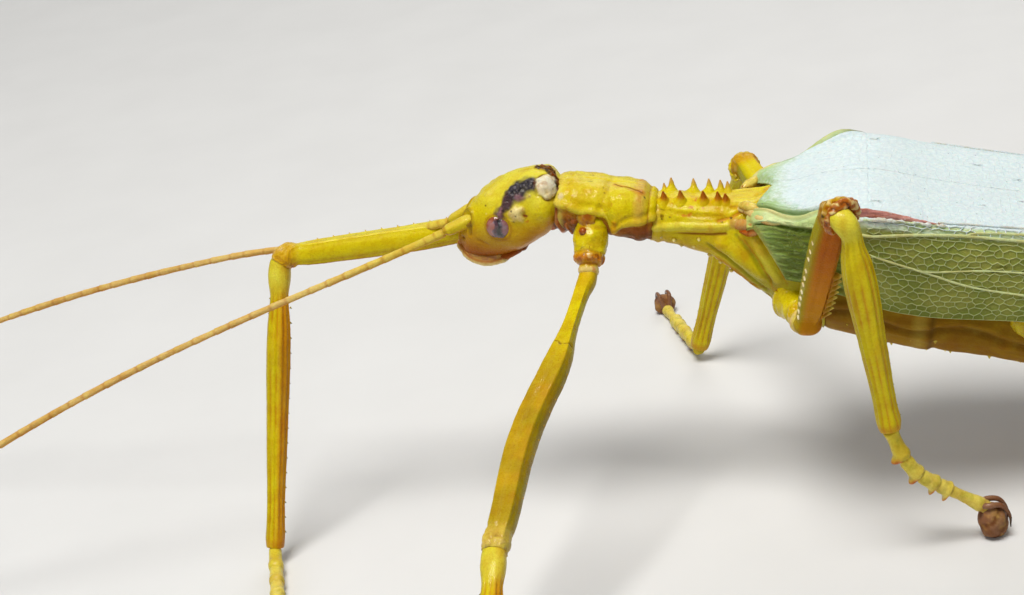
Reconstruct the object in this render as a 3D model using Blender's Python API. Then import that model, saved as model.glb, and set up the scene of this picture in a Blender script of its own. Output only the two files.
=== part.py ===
"""Giant winged stick insect, an adult female, as a still life-size model on its six feet.

The body is drawn level along X, head at -X, tail at +X, its left side at -Y, with sizes in
millimetres. It is then tilted head-up and stood on the floor, z = 0. The legs reach from hips
on the tilted body to feet that are all flat on that floor. Every plate is one closed solid and
stops a hair short of its neighbour.
"""

import math

import bmesh
import bpy
from mathutils import Matrix, Vector

MM = 0.001
GAP = 0.08  # clearance left between two neighbouring plates

# how the level body stands: tilt, height of its zero point, and the middle of the whole animal
BODY_TILT = math.radians(10.0)
BODY_LIFT = 17.06
CENTRE_X = 26.3
CENTRE_Y = -9.4

# stations along the level body
NECK_FRONT = 3.2
NECK_BACK = 3.75
PROTHORAX_BACK = 10.15
MESOTHORAX_BACK = 22.9
METATHORAX_BACK = 39.0
TAIL = 104.5
TEGMEN_TIP = 54.0
HINDWING_TIP = 86.0
WING_THICKNESS = 0.5

EYE_CENTRE = Vector((-0.6, 2.3, 6.65))
EYE_RADIUS = 0.98
SCAPE_BASE = Vector((-2.55, 1.1, 6.7))
SCAPE_RADIUS = 0.48

SPINE_STATIONS = (10.95, 12.1, 13.1, 14.1, 15.0, 15.8)
SPINE_BASE = 0.6
SPINE_HEIGHT = 0.85
FLANK_SPINE_HEIGHT = 0.4
TOOTH_HEIGHT = 0.45

UP = Vector((0, 0, 1))
OUT = Vector((0, 1, 0))
BACK = Vector((1, 0, 0))

YELLOW = (0.66, 0.55, 0.05)
OCHRE = (0.45, 0.24, 0.03)
HEAD_YELLOW = (0.62, 0.52, 0.10)
EYE_BROWN = (0.10, 0.03, 0.035)
WING_GREEN = (0.42, 0.58, 0.34)
BELLY = (0.40, 0.32, 0.07)
FEELER = (0.45, 0.31, 0.12)

floor_from_body = Matrix.Translation((0, 0, BODY_LIFT)) @ Matrix.Rotation(BODY_TILT, 4, "Y")
model_from_floor = Matrix.Scale(MM, 4) @ Matrix.Translation((-CENTRE_X, -CENTRE_Y, 0))
model_from_body = model_from_floor @ floor_from_body


# ---------------------------------------------------------------- scene and materials

for old in list(bpy.data.objects):
    bpy.data.objects.remove(old, do_unlink=True)


def make_material(name, colour, roughness):
    material = bpy.data.materials.new(name)
    material.use_nodes = True
    shader = material.node_tree.nodes["Principled BSDF"]
    shader.inputs["Base Color"].default_value = (*colour, 1)
    shader.inputs["Roughness"].default_value = roughness
    shader.inputs["Metallic"].default_value = 0
    return material


def add_node(name, bm, place, colour, roughness=0.45):
    """finish a mesh as one named, closed node of the model"""
    bmesh.ops.recalc_face_normals(bm, faces=bm.faces)
    bmesh.ops.transform(bm, matrix=place, verts=bm.verts)
    mesh = bpy.data.meshes.new(name)
    bm.to_mesh(mesh)
    bm.free()
    mesh.shade_smooth()
    mesh.set_sharp_from_angle(angle=math.radians(35))
    node = bpy.data.objects.new(name, mesh)
    bpy.context.collection.objects.link(node)
    mesh.materials.append(make_material(name, colour, roughness))
    return node


def cut_away(node, cutters):
    """take hidden cutter shapes out of a node"""
    for cutter in cutters:
        cutter.hide_render = True
        cutter.display_type = "WIRE"
        cut = node.modifiers.new(cutter.name, "BOOLEAN")
        cut.operation = "DIFFERENCE"
        cut.solver = "EXACT"
        cut.object = cutter


# ---------------------------------------------------------------- shared shapes


def value_at(x, stations):
    """read a smooth value between (place, value) stations"""
    if x <= stations[0][0]:
        return stations[0][1]
    for (x0, v0), (x1, v1) in zip(stations, stations[1:]):
        if x <= x1:
            t = (x - x0) / (x1 - x0)
            return v0 + (v1 - v0) * t
    return stations[-1][1]


def hoop(x, low, high, half_width):
    """frame of one upright body ring"""
    middle = (low + high) / 2
    columns = ((0, half_width, 0, 0), (0, 0, high - middle, 0), (1, 0, 0, 0), (x, 0, middle, 1))
    return Matrix(columns).transposed()


def limb_ring(centre, along, wide, high, face=None, top=UP):
    """frame of one limb ring, slid along the limb into the plane square to 'face'"""
    side = top.cross(along).normalized()
    crest = along.cross(side).normalized()
    face = face or along
    columns = []
    for half in (side * wide, crest * high):
        half = half - along * (face.dot(half) / face.dot(along))
        columns.append((*half, 0))
    columns += [(*along, 0), (*centre, 1)]
    return Matrix(columns).transposed()


def loft(frames, sides, square=2.0):
    """skin a row of ring frames, capped at both ends; square > 2 fills out the corners"""
    bm = bmesh.new()
    bmesh.ops.create_circle(bm, cap_ends=True, segments=sides, radius=1)
    for v in bm.verts:
        reach = (abs(v.co.x) ** square + abs(v.co.y) ** square) ** (1 / square)
        v.co = v.co / reach
    bmesh.ops.transform(bm, matrix=frames[0], verts=bm.verts)
    edges = bm.edges[:]
    for old, new in zip(frames, frames[1:]):
        grown = bmesh.ops.extrude_edge_only(bm, edges=edges)["geom"]
        ring = [item for item in grown if isinstance(item, bmesh.types.BMVert)]
        edges = [edge for edge in grown if isinstance(edge, bmesh.types.BMEdge) and edge.is_boundary]
        bmesh.ops.transform(bm, matrix=new @ old.inverted(), verts=ring)
    bmesh.ops.holes_fill(bm, edges=edges, sides=0)
    bmesh.ops.recalc_face_normals(bm, faces=bm.faces)
    return bm


def nearest_face(bm, point):
    whole = [face for face in bm.faces if len(face.verts) == 4]
    return min(whole, key=lambda face: (face.calc_center_median() - point).length)


def raise_spine(bm, point, reach):
    """turn the face nearest to a point into a small pyramid whose tip stands off by reach"""
    tip = bmesh.ops.poke(bm, faces=[nearest_face(bm, point)])["verts"]
    bmesh.ops.translate(bm, vec=reach, verts=tip)


def ball(radii, centre, segments=12, rings=8):
    bm = bmesh.new()
    bmesh.ops.create_uvsphere(bm, u_segments=segments, v_segments=rings, radius=1)
    bmesh.ops.scale(bm, vec=radii, verts=bm.verts)
    bmesh.ops.translate(bm, vec=centre, verts=bm.verts)
    return bm


def on_side(point, side):
    """a point given for the right side (+Y), moved to the wanted side"""
    return Vector((point.x, point.y * side, point.z))


SIDES = (("left", -1), ("right", 1))


# ---------------------------------------------------------------- head


def head():
    rings = (
        hoop(NECK_FRONT, 6.25, 8.75, 1.35),
        hoop(2.75, 5.35, 9.75, 2.25),
        hoop(2.0, 4.55, 10.2, 2.62),
        hoop(0.9, 4.0, 10.15, 2.72),
        hoop(-0.4, 3.55, 9.65, 2.6),
        hoop(-1.6, 3.15, 8.8, 2.3),
        hoop(-2.5, 3.0, 8.0, 1.95),
        hoop(-3.2, 3.15, 7.1, 1.5),
        hoop(-3.6, 3.6, 6.1, 0.95),
    )
    skull = add_node("head", loft(rings, 16, 2.3), model_from_body, HEAD_YELLOW)
    for name, side in SIDES:
        centre = on_side(EYE_CENTRE, side)
        radii = Vector((1.0, 0.62, 1.0)) * EYE_RADIUS
        add_node(f"eye_{name}", ball(radii, centre, 12, 8), model_from_body, EYE_BROWN, 0.2)
        room = radii + Vector((GAP, GAP, GAP))
        socket_shape = ball(room, centre, 12, 8)
        socket = add_node(f"eye_socket_{name}", socket_shape, model_from_body, EYE_BROWN)
        scape_cup = add_node(f"scape_cup_{name}", scape(name, side, GAP), model_from_body, FEELER)
        cut_away(skull, (socket, scape_cup))


def mouthparts():
    lip = (
        hoop(-3.3, 2.65, 3.05, 0.7),
        hoop(-2.9, 2.3, 2.95, 1.05),
        hoop(-2.2, 2.15, 2.8, 1.25),
        hoop(-1.6, 2.25, 2.85, 1.2),
    )
    add_node("labrum", loft(lip, 10, 2.6), model_from_body, OCHRE)
    jaws = (
        hoop(-1.5, 2.3, 2.9, 1.2),
        hoop(-0.8, 2.5, 3.15, 1.45),
        hoop(0.3, 3.0, 3.6, 1.45),
        hoop(1.2, 3.5, 3.95, 1.1),
    )
    add_node("jaws", loft(jaws, 10, 2.4), model_from_body, OCHRE)
    for name, side in SIDES:
        points = [Vector((-0.3, 1.85, 3.1)), Vector((-0.8, 2.1, 2.5)), Vector((-1.6, 1.9, 2.1))]
        palp = [on_side(point, side) for point in points]
        body = limb(palp, ((0.26, 0.26), (0.28, 0.28), (0.26, 0.26)), 6, BACK)
        add_node(f"palp_{name}", body, model_from_body, OCHRE)


# ---------------------------------------------------------------- limbs and feelers


def limb(points, radii, sides, top=UP, first_face=None, last_face=None, square=2.0):
    """tube through points, one (wide, high) pair of half sizes a point"""
    frames = []
    last = len(points) - 1
    for i, (point, (wide, high)) in enumerate(zip(points, radii)):
        along = (points[min(i + 1, last)] - points[max(i - 1, 0)]).normalized()
        face = {0: first_face, last: last_face}.get(i)
        frames.append(limb_ring(point, along, wide, high, face, top))
    return loft(frames, sides, square)


FEELER_BOW = {"left": 2.2, "right": 1.9}
FEELER_TIPS = {"left": Vector((-47.5, -10.3, -17.6)), "right": Vector((-51.5, 9.4, -12.7))}


def scape(name, side, room=0.0):
    """stout first joint of an antenna, sunk into the brow; room makes it a cutter"""
    base = on_side(SCAPE_BASE, side)
    way = (FEELER_TIPS[name] - base).normalized()
    points = [
        base - way * (0.3 + room),
        base,
        base + way * 1.5 + UP * 0.08,
        base + way * 2.45 + UP * 0.18,
    ]
    halves = (0.4, SCAPE_RADIUS, 0.44, 0.3)
    return limb(points, [(k + room, k + room) for k in halves], 8)


def feeler(name, side):
    """one antenna: the first joint, then a whip that droops towards its tip"""
    base = on_side(SCAPE_BASE, side)
    tip = FEELER_TIPS[name]
    add_node(f"scape_{name}", scape(name, side), model_from_body, FEELER)
    start = 0.055
    count = 16
    whip = []
    sizes = []
    for i in range(count + 1):
        t = start + (1 - start) * i / count
        whip.append(base.lerp(tip, t) + UP * FEELER_BOW[name] * math.sin(math.pi * t) * t ** 0.5)
        half = 0.32 - 0.07 * min(1, i / 5)
        sizes.append((half, half))
    add_node(f"antenna_{name}", limb(whip, sizes, 6), model_from_body, FEELER)


KNEE_REACH = 0.9


def knee_points(start, knee, end, radius, steps=3):
    """round the knee: centre points before it, its middle, and those after it"""
    into = (start - knee).normalized()
    out = (end - knee).normalized()
    half = into.angle(out) / 2
    reach = max(radius / math.tan(half), KNEE_REACH)
    radius = reach * math.tan(half)
    centre = knee + (into + out).normalized() * (radius / math.sin(half))
    a = knee + into * reach - centre
    b = knee + out * reach - centre
    arc = [centre + a.slerp(b, i / (2 * steps)).normalized() * radius for i in range(2 * steps + 1)]
    middle = (b - a).normalized()
    return arc[: steps + 1], arc[steps:], middle


def spread(start, end, shares):
    return [start.lerp(end, share) for share in shares]


def foot(name, ankle, tip, first_face, colour, ankle_half, sag):
    """tarsus of five lobed joints, a pad and two claws, cut flat where it meets the floor"""
    joints = (0.0, 0.34, 0.53, 0.68, 0.78, 1.0)
    bend = ankle.lerp(tip, 0.3) - UP * sag

    def along(t):
        return ankle.lerp(bend, t).lerp(bend.lerp(tip, t), t)

    points = [ankle]
    sizes = [(ankle_half, ankle_half)]
    lobed = ((0.3, 0.44), (0.82, 0.56), (0.97, 0.4))
    plain = ((0.35, 0.38), (0.8, 0.5))
    for number, (start, end) in enumerate(zip(joints, joints[1:])):
        length = end - start
        shape = lobed if number < 4 else plain
        for share, half in shape:
            points.append(along(start + length * share))
            sizes.append((half * 0.95, half))
    points.append(tip)
    sizes.append((0.72, 0.5))
    ahead = (tip - bend).normalized()
    points.append(tip + ahead * 0.55)
    sizes.append((0.5, 0.42))
    bm = limb(points, sizes, 6, first_face=first_face)
    level = Vector((ahead.x, ahead.y, 0)).normalized()
    across = UP.cross(level)
    for side in (-1, 1):
        face = nearest_face(bm, tip + across * side * 0.7 + ahead * 0.27)
        claw = face
        for reach, drop, shrink in ((0.55, -0.02, 0.6), (0.5, -0.12, 0.45)):
            grown = bmesh.ops.extrude_discrete_faces(bm, faces=[claw])["faces"]
            claw = grown[0]
            middle = claw.calc_center_median()
            bmesh.ops.scale(
                bm, vec=(shrink,) * 3, space=Matrix.Translation(-middle), verts=claw.verts
            )
            bend = level * reach + across * side * 0.22 + UP * drop
            bmesh.ops.translate(bm, vec=bend, verts=claw.verts)
    everything = bm.verts[:] + bm.edges[:] + bm.faces[:]
    bmesh.ops.bisect_plane(
        bm, geom=everything, dist=1e-5, plane_co=(0, 0, 0), plane_no=(0, 0, -1), clear_outer=True
    )
    rim = [edge for edge in bm.edges if edge.is_boundary]
    bmesh.ops.holes_fill(bm, edges=rim, sides=0)
    bmesh.ops.triangulate(bm, faces=[face for face in bm.faces if len(face.verts) > 4])
    add_node(name, bm, model_from_floor, colour)


def coxa_shape(hip, hip_half, trochanter, face, coxa_half, root_half, room=0.0):
    """first joint of a leg, sunk into the body at the hip; room makes it a cutter"""
    way = (trochanter - hip).normalized()
    end = trochanter - face * GAP / 2
    points = [hip - way * (hip_half * 0.6 + room)] + spread(hip, end, (0, 0.4, 0.75, 1))
    halves = (hip_half * 0.75, hip_half * 0.95, coxa_half * 1.05, coxa_half, root_half)
    return limb(points, [(k + room, k + room) for k in halves], 10, BACK, last_face=face)


def leg(name, hip, hip_half, joints, sizes, colour, knee_radius, bow, sag, teeth=None):
    """coxa, femur, tibia and tarsus of one leg; hip and joints are floor points"""
    trochanter, knee, ankle, tip = joints
    coxa_half, root_half, femur_half, knee_half, tibia_half, ankle_half = sizes
    before, after, knee_face = knee_points(trochanter, knee, ankle, knee_radius)
    thigh_way = (before[0] - trochanter).normalized()
    hip_way = (trochanter - hip).normalized()
    hip_face = (thigh_way + hip_way).normalized()
    shin_way = (ankle - after[-1]).normalized()
    foot_way = (ankle.lerp(tip, 0.3) - UP * sag - ankle).normalized()
    ankle_face = (shin_way + foot_way).normalized()

    bm = coxa_shape(hip, hip_half, trochanter, hip_face, coxa_half, root_half)
    add_node(f"coxa_{name}", bm, model_from_floor, OCHRE)

    shares = (0, 0.06, 0.14, 0.26, 0.38, 0.5, 0.62, 0.74, 0.86, 0.96)
    profile = (
        (0, root_half),
        (0.14, root_half * 0.98),
        (0.6, femur_half),
        (0.85, femur_half),
        (1, knee_half),
    )
    start = trochanter + hip_face * GAP / 2
    bones = [
        start.lerp(before[0], share) + OUT * bow * math.sin(math.pi * min(1, share / 0.6)) ** 2
        for share in shares
    ]
    bones += before[:-1] + [before[-1] - knee_face * GAP / 2]
    halves = [value_at(share, profile) for share in shares] + [knee_half] * len(before)
    bm = limb(bones, [(k * 0.92, k) for k in halves], 8, BACK, hip_face, knee_face, 2.4)
    for share, way in teeth or ():
        point = trochanter.lerp(before[0], share) + way * femur_half
        raise_spine(bm, point, way * TOOTH_HEIGHT)
    add_node(f"femur_{name}", bm, model_from_floor, colour)

    shares = (0.04, 0.14, 0.3, 0.5, 0.7, 0.86, 0.96, 1)
    profile = (
        (0, knee_half * 0.92),
        (0.14, tibia_half),
        (0.7, tibia_half * 0.95),
        (0.96, ankle_half * 1.05),
        (1, ankle_half),
    )
    end = ankle - ankle_face * GAP / 2
    bones = [after[0] + knee_face * GAP / 2] + after[1:] + spread(after[-1], end, shares)
    halves = [knee_half * 0.92] * len(after) + [value_at(share, profile) for share in shares]
    bm = limb(bones, [(k * 0.88, k) for k in halves], 8, BACK, knee_face, ankle_face, 2.4)
    add_node(f"tibia_{name}", bm, model_from_floor, colour)

    start = ankle + ankle_face * GAP / 2
    foot(f"tarsus_{name}", start, tip, ankle_face, colour, ankle_half * 0.85, sag)


def floor_point(x, y, z):
    return floor_from_body @ Vector((x, y, z))


HIPS = {
    "front": Vector((6.0, 1.75, 7.0)),
    "mid": Vector((20.6, 2.9, 2.5)),
    "hind": Vector((36.9, 4.1, 3.0)),
}
HIP_HALF = {"front": 1.05, "mid": 1.35, "hind": 1.4}
# half sizes at the coxa, thigh root, thigh, knee, shin and ankle
LEG_SIZES = {
    "front": (1.18, 0.66, 0.86, 0.8, 0.74, 0.62),
    "mid": (1.2, 0.95, 1.05, 0.84, 0.9, 0.72),
    "hind": (1.3, 0.95, 1.0, 0.86, 0.85, 0.68),
}
KNEE_RADIUS = {"front": 1.1, "mid": 1.0, "hind": 1.0}
FOOT_SAG = {("mid", -1): 2.0}
THIGH_BOW = {"front": 0.9, "mid": 0.0, "hind": 0.0}
LEG_JOINTS = {
    ("front", -1): ((6.7, -4.2, 20.1), (1.5, -26.0, 11.1), (1.5, -46.0, 1.0), (-1.2, -55.8, 0.46)),
    ("front", 1): ((6.7, 3.9, 21.6), (-17.6, 0.5, 22.3), (-20.3, -6.8, 1.1), (-17.7, -16.6, 0.46)),
    ("mid", -1): ((21.7, -5.7, 15.4), (25.5, -13.5, 28.6), (26.8, -12.0, 9.6), (33.2, -10.6, 0.55)),
    ("mid", 1): ((21.7, 5.7, 15.4), (16.6, 18.6, 18.6), (10.4, 21.6, 1.1), (6.8, 31.6, 0.46)),
    ("hind", -1): ((38.6, -6.6, 12.4), (55.5, -19.0, 21.8), (66.0, -29.0, 1.1), (73.2, -37.0, 0.46)),
    ("hind", 1): ((38.6, 6.6, 12.4), (55.5, 19.0, 21.8), (66.0, 29.0, 1.1), (73.2, 37.0, 0.46)),
}


def hip_point(pair, side):
    return floor_point(*on_side(HIPS[pair], side))


def sockets(pair):
    """cutters that leave room for one pair of hip joints"""
    made = []
    for name, side in SIDES:
        hip = hip_point(pair, side)
        trochanter = Vector(LEG_JOINTS[pair, side][0])
        face = (trochanter - hip).normalized()
        coxa_half, root_half = LEG_SIZES[pair][:2]
        bm = coxa_shape(hip, HIP_HALF[pair], trochanter, face, coxa_half, root_half, GAP * 1.5)
        made.append(add_node(f"hip_cup_{pair}_{name}", bm, model_from_floor, OCHRE))
    return made


def legs():
    for (pair, side), joints in LEG_JOINTS.items():
        name = f"{pair}_{'left' if side < 0 else 'right'}"
        points = [Vector(joint) for joint in joints]
        teeth = None
        if pair != "front":
            teeth = [(0.2 + 0.12 * i, BACK) for i in range(6)]
        bow = THIGH_BOW[pair] * side
        leg(name, hip_point(pair, side), HIP_HALF[pair], points, LEG_SIZES[pair], YELLOW,
            KNEE_RADIUS[pair], bow, FOOT_SAG.get((pair, side), 0.0), teeth)


# ---------------------------------------------------------------- thorax


def neck():
    rings = (hoop(NECK_FRONT + GAP, 6.3, 8.8, 1.3), hoop(NECK_BACK - GAP, 6.2, 9.0, 1.55))
    add_node("neck", loft(rings, 14), model_from_body, OCHRE)


def prothorax():
    rings = (
        hoop(NECK_BACK, 6.3, 9.75, 1.95),
        hoop(4.2, 6.1, 10.0, 2.35),
        hoop(5.6, 6.0, 9.75, 2.5),
        hoop(6.9, 5.95, 9.55, 2.45),
        hoop(7.2, 5.95, 9.4, 2.4),
        hoop(8.4, 5.8, 9.55, 2.35),
        hoop(9.4, 5.8, 9.35, 2.2),
        hoop(PROTHORAX_BACK, 5.9, 8.9, 1.95),
    )
    shield = add_node("prothorax", loft(rings, 16, 2.5), model_from_body, YELLOW)
    cut_away(shield, sockets("front"))


def mesothorax():
    low = ((10.2, 5.5), (12, 5.3), (14.5, 4.7), (17.2, 2.9), (20.4, 0.7), (22.9, -0.3))
    high = ((10.2, 8.75), (11.5, 9.0), (15.8, 9.1), (17.5, 9.4), (18.9, 9.8), (19.3, 9.2), (22.9, 8.4))
    width = ((10.2, 1.75), (11.5, 1.9), (15.8, 2.3), (18.5, 3.1), (20.6, 4.0), (22.9, 4.3))
    stations = [PROTHORAX_BACK + GAP]
    for x in SPINE_STATIONS:
        stations += [x - SPINE_BASE / 2, x + SPINE_BASE / 2]
    stations += [17.2, 18.2, 18.9, 19.3, 20.6, 21.8, MESOTHORAX_BACK - GAP / 2]
    rings = [hoop(x, value_at(x, low), value_at(x, high), value_at(x, width)) for x in stations]
    bm = loft(rings, 14, 2.3)
    for x in SPINE_STATIONS:
        for side in (-1, 1):
            crest = Vector((x, 1.0 * side, value_at(x, high)))
            raise_spine(bm, crest, Vector((-0.08, 0.18 * side, SPINE_HEIGHT)))
        for side in (-1, 1):
            flank = Vector((x + 1.2, 2.3 * side, value_at(x + 1.2, low) + 1.0))
            raise_spine(bm, flank, Vector((0, FLANK_SPINE_HEIGHT * side, -0.1)))
    trunk = add_node("mesothorax", bm, model_from_body, YELLOW)
    cut_away(trunk, sockets("mid"))


# underside, top and half width of the hind body, from the metathorax to the tail
BODY_LOW = (
    (22.9, -0.3), (27, -1.1), (39, -2.2), (52, -2.8), (66, -2.3), (80, -0.6), (93, 1.5), (TAIL, 3.4)
)
BODY_HIGH = (
    (22.9, 8.3), (30, 8.0), (39, 7.5), (52, 6.6), (66, 6.0), (80, 5.9), (93, 6.1), (TAIL, 5.7)
)
BODY_WIDTH = (
    (22.9, 4.4), (30, 4.7), (39, 4.6), (52, 4.4), (66, 4.0), (80, 3.2), (93, 2.2), (TAIL, 1.3)
)


def body_hoop(x, swell=0.0):
    return hoop(
        x, value_at(x, BODY_LOW) - swell, value_at(x, BODY_HIGH) + swell, value_at(x, BODY_WIDTH) + swell
    )


def metathorax():
    stations = (MESOTHORAX_BACK + GAP / 2, 24.5, 27.5, 31, 34.5, 37.5, METATHORAX_BACK - GAP / 2)
    bm = loft([body_hoop(x) for x in stations], 16, 2.2)
    trunk = add_node("metathorax", bm, model_from_body, BELLY)
    cut_away(trunk, sockets("hind"))


def abdomen():
    """nine ring plates, each slightly fuller at its hind rim than the next one's start"""
    lengths = (8.6, 9.2, 9.4, 9.2, 8.4, 6.6, 5.4, 4.6, 4.1)
    total = sum(lengths)
    start = METATHORAX_BACK
    for number, length in enumerate(lengths):
        end = start + length * (TAIL - METATHORAX_BACK) / total
        span = end - start
        front = start + GAP / 2
        back = end - GAP / 2
        rings = [body_hoop(front), body_hoop(start + span * 0.5, 0.06), body_hoop(back, 0.14)]
        if number == len(lengths) - 1:
            rings.append(hoop(back + 0.5, 4.2, 5.5, 0.7))
        add_node(f"abdomen_{number + 2}", loft(rings, 14, 2.2), model_from_body, BELLY)
        start = end


def tail_parts():
    """the egg guide under the last rings, and the two cerci beside them"""
    rings = (
        hoop(92.5, 0.35, 0.75, 0.7),
        hoop(95.0, 0.55, 1.35, 1.15),
        hoop(99.0, 1.2, 2.05, 1.0),
        hoop(103.0, 1.95, 2.6, 0.55),
    )
    add_node("operculum", loft(rings, 8), model_from_body, BELLY)
    for name, side in SIDES:
        points = [Vector((102.9, 1.85, 4.6)), Vector((104.2, 2.15, 4.6)), Vector((106.3, 2.2, 4.5))]
        halves = ((0.3, 0.4), (0.32, 0.45), (0.25, 0.25))
        cercus = limb([on_side(point, side) for point in points], halves, 6)
        add_node(f"cercus_{name}", cercus, model_from_body, BELLY)


# ---------------------------------------------------------------- wings

# stations of the folded wings: half width and height of the fold, rise of the middle over it,
# and half width and height of the lower edge
WING_HALF = ((17.2, 3.4), (18.5, 4.3), (20.3, 5.4), (22, 6.7), (25, 7.6), (30, 7.3), (35, 6.9), (45, 6.3),
             (54, 5.8), (70, 4.7), (86, 3.3))
FOLD_HEIGHT = ((17.2, 8.7), (18.5, 9.4), (20.3, 9.9), (22, 10.6), (25, 11.3), (30, 11.0), (35, 10.7),
               (45, 10.2), (54, 9.6), (70, 8.7), (86, 7.6))
RIDGE_RISE = ((17.2, 1.1), (20, 0.7), (25, 0.35), (86, 0.3))
EDGE_HALF = ((17.2, 3.5), (19.6, 4.2), (21, 4.9), (23, 5.8), (27, 7.1), (36, 7.0), (54, 5.9),
             (70, 4.8), (86, 3.3))
EDGE_HEIGHT = ((17.2, 5.0), (19.6, 4.7), (21, 4.8), (23, 4.7), (27, 4.1), (36, 3.8), (54, 3.2),
               (70, 3.4), (86, 4.6))
ACROSS = (0.0, 0.18, 0.36, 0.48, 0.54, 0.6, 0.74, 0.88, 1.0)
FOLD = 0.5


def wing_point(x, s, inset=0.0):
    """right wing surface: s runs from the back's midline over the fold to the lower edge"""
    half = value_at(x, WING_HALF) - inset
    fold = value_at(x, FOLD_HEIGHT) - inset
    rise = value_at(x, RIDGE_RISE)
    if s <= FOLD:
        t = s / FOLD
        round_off = 0.35 * max(0.0, t - 0.85) / 0.15
        return Vector((x, half * t - round_off * 0.3, fold + rise * (1 - t * t) - round_off))
    t = (s - FOLD) / (1 - FOLD)
    round_off = 0.35 * max(0.0, 0.15 - t) / 0.15
    edge_half = value_at(x, EDGE_HALF) - inset
    edge = value_at(x, EDGE_HEIGHT) + inset * 0.4
    bulge = 0.3 * math.sin(math.pi * t)
    y = half + (edge_half - half) * t + bulge - round_off * 0.3
    return Vector((x, y, fold + (edge - fold) * t - round_off))


def wing(name, side, front, tip, count, inset, colour):
    """a thin folded shell: front and tip give the shell's end stations at each s"""
    bm = bmesh.new()
    bmesh.ops.create_grid(bm, x_segments=count, y_segments=len(ACROSS) - 1, size=0.5)
    for v in bm.verts:
        s = ACROSS[round((v.co.y + 0.5) * (len(ACROSS) - 1))]
        share = v.co.x + 0.5
        x = front(s) + (tip(s) - front(s)) * share
        point = wing_point(x, s, inset)
        point.y += GAP * 0.6
        v.co = on_side(point, side)
    bmesh.ops.recalc_face_normals(bm, faces=bm.faces)
    if nearest_face(bm, Vector((30, 3 * side, 11))).normal.z < 0:
        bmesh.ops.reverse_faces(bm, faces=bm.faces)
    bmesh.ops.solidify(bm, geom=bm.faces[:], thickness=WING_THICKNESS)
    bmesh.ops.triangulate(bm, faces=[face for face in bm.faces if len(face.verts) > 3])
    add_node(name, bm, model_from_body, colour)


def tegmen_front(s):
    return value_at(s, ((0, 19.4), (0.2, 18.3), (0.45, 17.3), (0.55, 17.25), (1, 19.8)))


def tegmen_tip(s):
    return TEGMEN_TIP - 7.0 * abs(s - 0.55) ** 1.6


def hindwing_front(s):
    return value_at(s, ((0, 23.5), (0.5, 22.5), (1, 25.5)))


def hindwing_tip(s):
    return HINDWING_TIP - 9.0 * abs(s - 0.45) ** 1.7


def wings():
    for name, side in SIDES:
        wing(f"tegmen_{name}", side, tegmen_front, tegmen_tip, 11, 0.0, WING_GREEN)
        wing(f"hindwing_{name}", side, hindwing_front, hindwing_tip, 9, WING_THICKNESS + 0.2, WING_GREEN)


# ---------------------------------------------------------------- the whole animal

head()
mouthparts()
neck()
prothorax()
mesothorax()
metathorax()
abdomen()
tail_parts()
wings()
legs()
for side_name, side_sign in SIDES:
    feeler(side_name, side_sign)
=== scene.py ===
"""A giant winged stick insect at life size, standing still on a plain pale floor.

The insect is shaped in its own level frame: millimetres, head towards -X, tail
towards +X and its left side towards -Y. It is then tilted and set on the floor.
"""

import itertools
import math

import bmesh
import bpy
import numpy as np
from mathutils import Matrix, Vector


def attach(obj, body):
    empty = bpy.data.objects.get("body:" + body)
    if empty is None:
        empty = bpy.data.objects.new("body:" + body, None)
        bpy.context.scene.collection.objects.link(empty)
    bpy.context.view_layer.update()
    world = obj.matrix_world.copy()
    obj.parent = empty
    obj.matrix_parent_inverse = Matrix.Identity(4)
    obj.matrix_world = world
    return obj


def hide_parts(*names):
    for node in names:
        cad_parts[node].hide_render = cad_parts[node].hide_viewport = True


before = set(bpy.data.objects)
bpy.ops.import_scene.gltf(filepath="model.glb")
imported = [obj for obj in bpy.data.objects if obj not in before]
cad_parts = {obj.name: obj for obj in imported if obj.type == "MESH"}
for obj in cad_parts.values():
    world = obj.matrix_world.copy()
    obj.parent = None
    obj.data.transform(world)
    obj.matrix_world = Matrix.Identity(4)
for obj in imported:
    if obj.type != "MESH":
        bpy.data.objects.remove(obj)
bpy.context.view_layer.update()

MM = 0.001
# height of the body's frame over the floor, its tilt with the head up, and the way to the model's middle
STAND = 17.06
TILT = math.radians(10)
TO_MIDDLE = (-26.3, 9.4, 0)
floor_from_body = Matrix.Translation((0, 0, STAND)) @ Matrix.Rotation(TILT, 4, "Y")
model_from_floor = Matrix.Scale(MM, 4) @ Matrix.Translation(TO_MIDDLE)
model_from_body = model_from_floor @ floor_from_body
COARSE = 1.0
UP = np.array((0.0, 0.0, 1.0))
BACK = np.array((1.0, 0.0, 0.0))
# points closer than this are one point
WELD = 1e-4
SIDES = (("left", -1), ("right", 1))

# ---- colours

HUES = {
    "yellow": "CFBF14", "pale_yellow": "D6CE56", "straw": "D6C768", "cream": "DCCB8E",
    "ivory": "E6DDBC", "ochre": "AD8208", "amber": "BE7C0E", "orange": "B8560C", "sienna": "9E5606",
    "rust": "8A450A", "brown": "5E3210", "umber": "33200F", "black": "120E0D",
    "olive": "9B962B", "moss": "7A7A1E", "tan": "C09A5C", "sand": "D3BC7C",
    "pink": "C08E88", "rose": "A4645E", "mauve": "86606A", "plum": "4A3440", "slate": "2B2833",
    "fog": "8E8A98", "grey": "75787A", "white": "D4DEDE", "wing_white": "C4D1D6", "wing_tint": "B0C6A2",
    "leaf": "8F9048", "leaf_dark": "586A12", "leaf_pale": "B2C680", "vein": "B0B888", "vein_pale": "BEC896",
    # the belly hue is the abdomen's ochre as it looks in shade: painted shade
    "bud": "CFDAA2", "mist": "E4F0D4", "belly_in_shade": "86631A", "belly_dark": "5A3D0C", "russet": "A85400",
    "dun": "84604A",
}


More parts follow.
